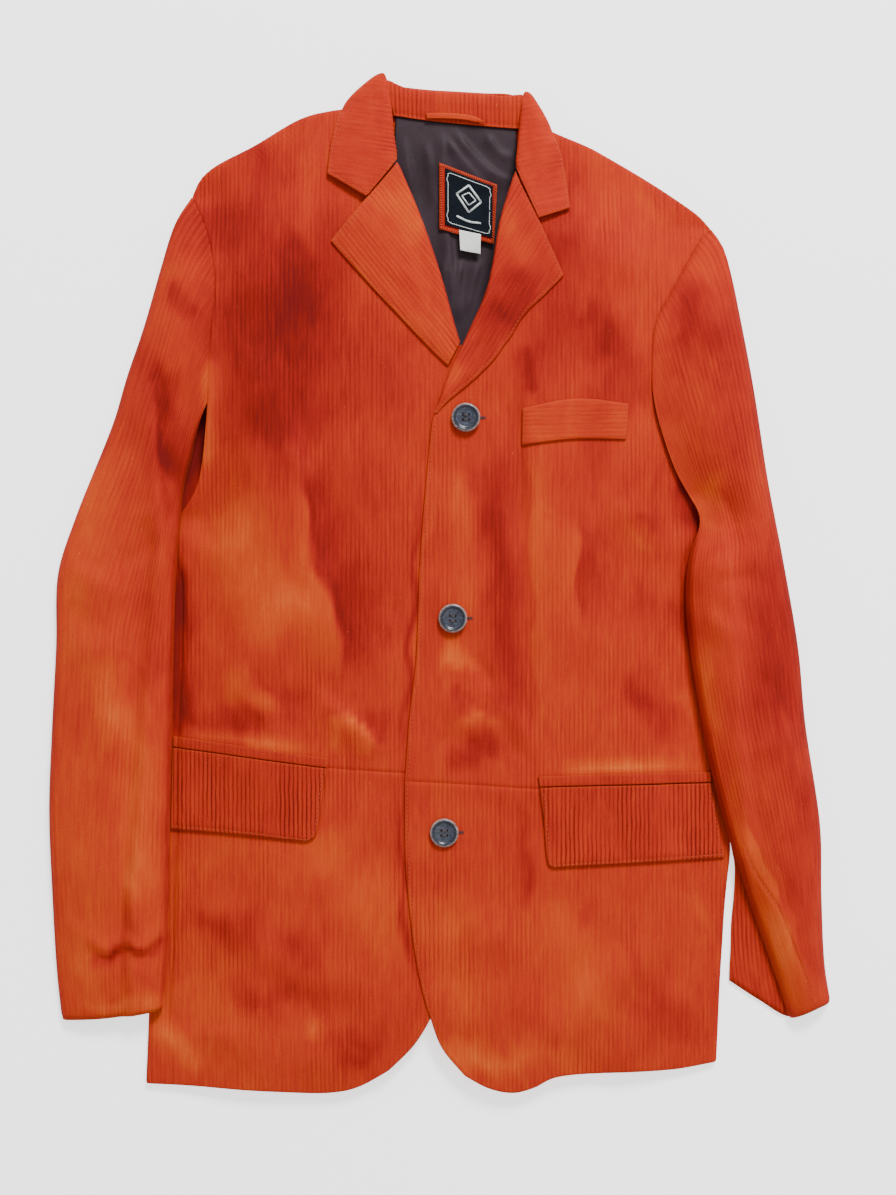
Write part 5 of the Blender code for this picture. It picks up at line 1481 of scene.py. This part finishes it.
def make_buttonholes(spots):
    """Close bars of dark thread in two rows either side of a narrow gap, to the wearer's left of each button.
    """
    bars = []
    for cx, cy, _ in spots:
        for side in (-1, 1):
            for x in np.arange(*BUTTONHOLE_REACH, BAR_STEP):
                px = np.array([cx + x, cx + x + 0.05])
                py = np.array([cy + side * 0.12, cy + side * 1.0])
                pz = left_front_z(px, py) + RIB_HEIGHT / 2 + 0.12
                bars.append(np.array([(px[0], py[0], pz[0]), (px.mean(), py.mean(), pz.mean() + 0.22),
                                      (px[1], py[1], pz[1])]))
    make_tubes("buttonhole_threads", bars, 0.26, DARK_THREAD, sides=4)


# Stage ---

WORLD_LIGHT = 0.75
LIGHTS = {
    "key": ((0.9, 3.0, 2.6), 1.1, 275),
    "fill": ((0.9, -0.6, 2.2), 1.8, 12),
}
VIEW_X, VIEW_Y, VIEW_HEIGHT, LENS, SENSOR = 5.9, -12.9, 932.0, 50.0, 36.0
VIEW_PLANE = 12  # the view is VIEW_HEIGHT tall at this height over the table
FLOOR_SIZE, FLOOR_Z = 8, -0.0004  # in metres


def make_stage():
    floor_finish = Shading("pale_floor")
    grain = floor_finish.noise(floor_finish.place(), 2.0, 2)
    tint = floor_finish.ramp(grain, [(0.3, (0.93, 0.93, 0.93)), (0.7, (0.95, 0.95, 0.95))])
    floor_finish.finish(Base_Color=tint, Roughness=0.9, Specular_IOR_Level=0.1,
                        Emission_Color=(1.0, 1.0, 1.0), Emission_Strength=1.2)
    bpy.ops.mesh.primitive_plane_add(size=FLOOR_SIZE, location=(0, 0, FLOOR_Z))
    floor = bpy.context.object
    floor.name = "floor"
    floor.data.materials.append(floor_finish.material)
    world = bpy.data.worlds.new("studio")
    world.use_nodes = True
    world.node_tree.nodes["Background"].inputs[0].default_value = (1.0, 1.0, 1.0, 1)
    world.node_tree.nodes["Background"].inputs[1].default_value = WORLD_LIGHT
    bpy.context.scene.world = world
    for name, (place, size, power) in LIGHTS.items():
        data = bpy.data.lights.new(name, "AREA")
        data.size, data.energy = size, power
        light = put_object(name, data)
        light.location = place
        light.rotation_euler = (-light.location).to_track_quat("-Z", "Y").to_euler()


def make_camera():
    data = bpy.data.cameras.new("camera")
    data.lens, data.sensor_width = LENS, SENSOR
    camera = put_object("camera", data)
    reach = VIEW_HEIGHT * LENS / SENSOR
    camera.location = (VIEW_X * MM + SHIFT_X, VIEW_Y * MM + SHIFT_Y, (reach + VIEW_PLANE) * MM)
    bpy.context.scene.camera = camera


# The jacket ---

random.seed(7)
for item in list(bpy.data.objects):
    bpy.data.objects.remove(item, do_unlink=True)
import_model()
back_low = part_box("back")[0]
SHIFT_X = back_low.x - RIGHT_SIDE[0][0] * MM
SHIFT_Y = back_low.y - RIGHT_SIDE[0][1] * MM

make_camera()
make_stage()
SUEDE = make_suede()
SATIN_CLOTH = make_satin()
LABEL_FACE = make_plain("label_leather", (0.002, 0.003, 0.005), (0.006, 0.009, 0.014), 900, 0.8, 0.00005,
                        Specular_IOR_Level=0.06)
TAG = make_plain("tag_ribbon", (0.55, 0.55, 0.53), (0.72, 0.72, 0.69), 1500, 0.8, 0.00005)
THREAD = make_plain("orange_thread", (0.30, 0.024, 0.005), (0.48, 0.062, 0.008), 1400, 0.75, 0.00004,
                    Sheen_Weight=0.1, Sheen_Tint=(1.0, 0.25, 0.1))
PALE_THREAD = make_plain("pale_thread", (0.34, 0.36, 0.36), (0.62, 0.65, 0.66), 1400, 0.7, 0.00004)
DARK_THREAD = make_plain("dark_thread", (0.016, 0.014, 0.018), (0.05, 0.042, 0.05), 1400, 0.65, 0.00004)
HORN = make_horn()

make_back()
make_lining()
cloths = make_fronts()
cloths.update(make_sleeves())
cloths.update({node: make_lapel(node, *cut) for node, cut in LAPELS.items()})
cloths["collar_fall"] = make_collar_fall()
make_collar_stand()
make_hanger_loop()
cloths.update({node: lying(node, **cut) for node, cut in POCKETS.items()})
cloths["label_border"] = make_label("label_border", SUEDE)
cloths["label"] = make_label("label", LABEL_FACE)
make_label("size_tag", TAG)

# Stitched edges: the piece, the edge, and the part of it that is stitched or how far in.
EDGES = [
    ("front_left_upper", "first", {"end": 0.62}), ("front_left_lower", "first", {}),
    ("front_right_lower", "last", {"end": 0.3}),
    ("lapel_left", "last", {}), ("lapel_left", "high", {}),
    ("lapel_right", "last", {}), ("lapel_right", "high", {}),
    ("collar_fall", "low", {}), ("collar_fall", "high", {}),
    ("collar_fall", "last", {"end": 0.4}), ("collar_fall", "last", {"start": 0.6}),
    ("flap_right", "low", {}), ("flap_right", "last", {}),
    ("flap_left", "low", {}), ("flap_left", "first", {}), ("flap_left", "last", {}),
    ("chest_welt", "first", {"inset": 1.6}), ("chest_welt", "last", {"inset": 1.6}),
]
seams = [cloths[piece].seam_points(way, **part) for piece, way, part in EDGES]
seams.append(cloths["sleeve_left"].on_face(along(smooth(LEFT_SLEEVE_SEAM), np.linspace(0.12, 1, 60))))
sew_rows("edge_stitching", seams, THREAD)
make_whip_stitches(cloths["label_border"])
make_label_mark(cloths["label"])
button_spots = [make_button(f"button_{number}") for number in (1, 2, 3)]
make_tubes("button_threads", button_threads(button_spots), 0.34, DARK_THREAD)
make_buttonholes(button_spots)
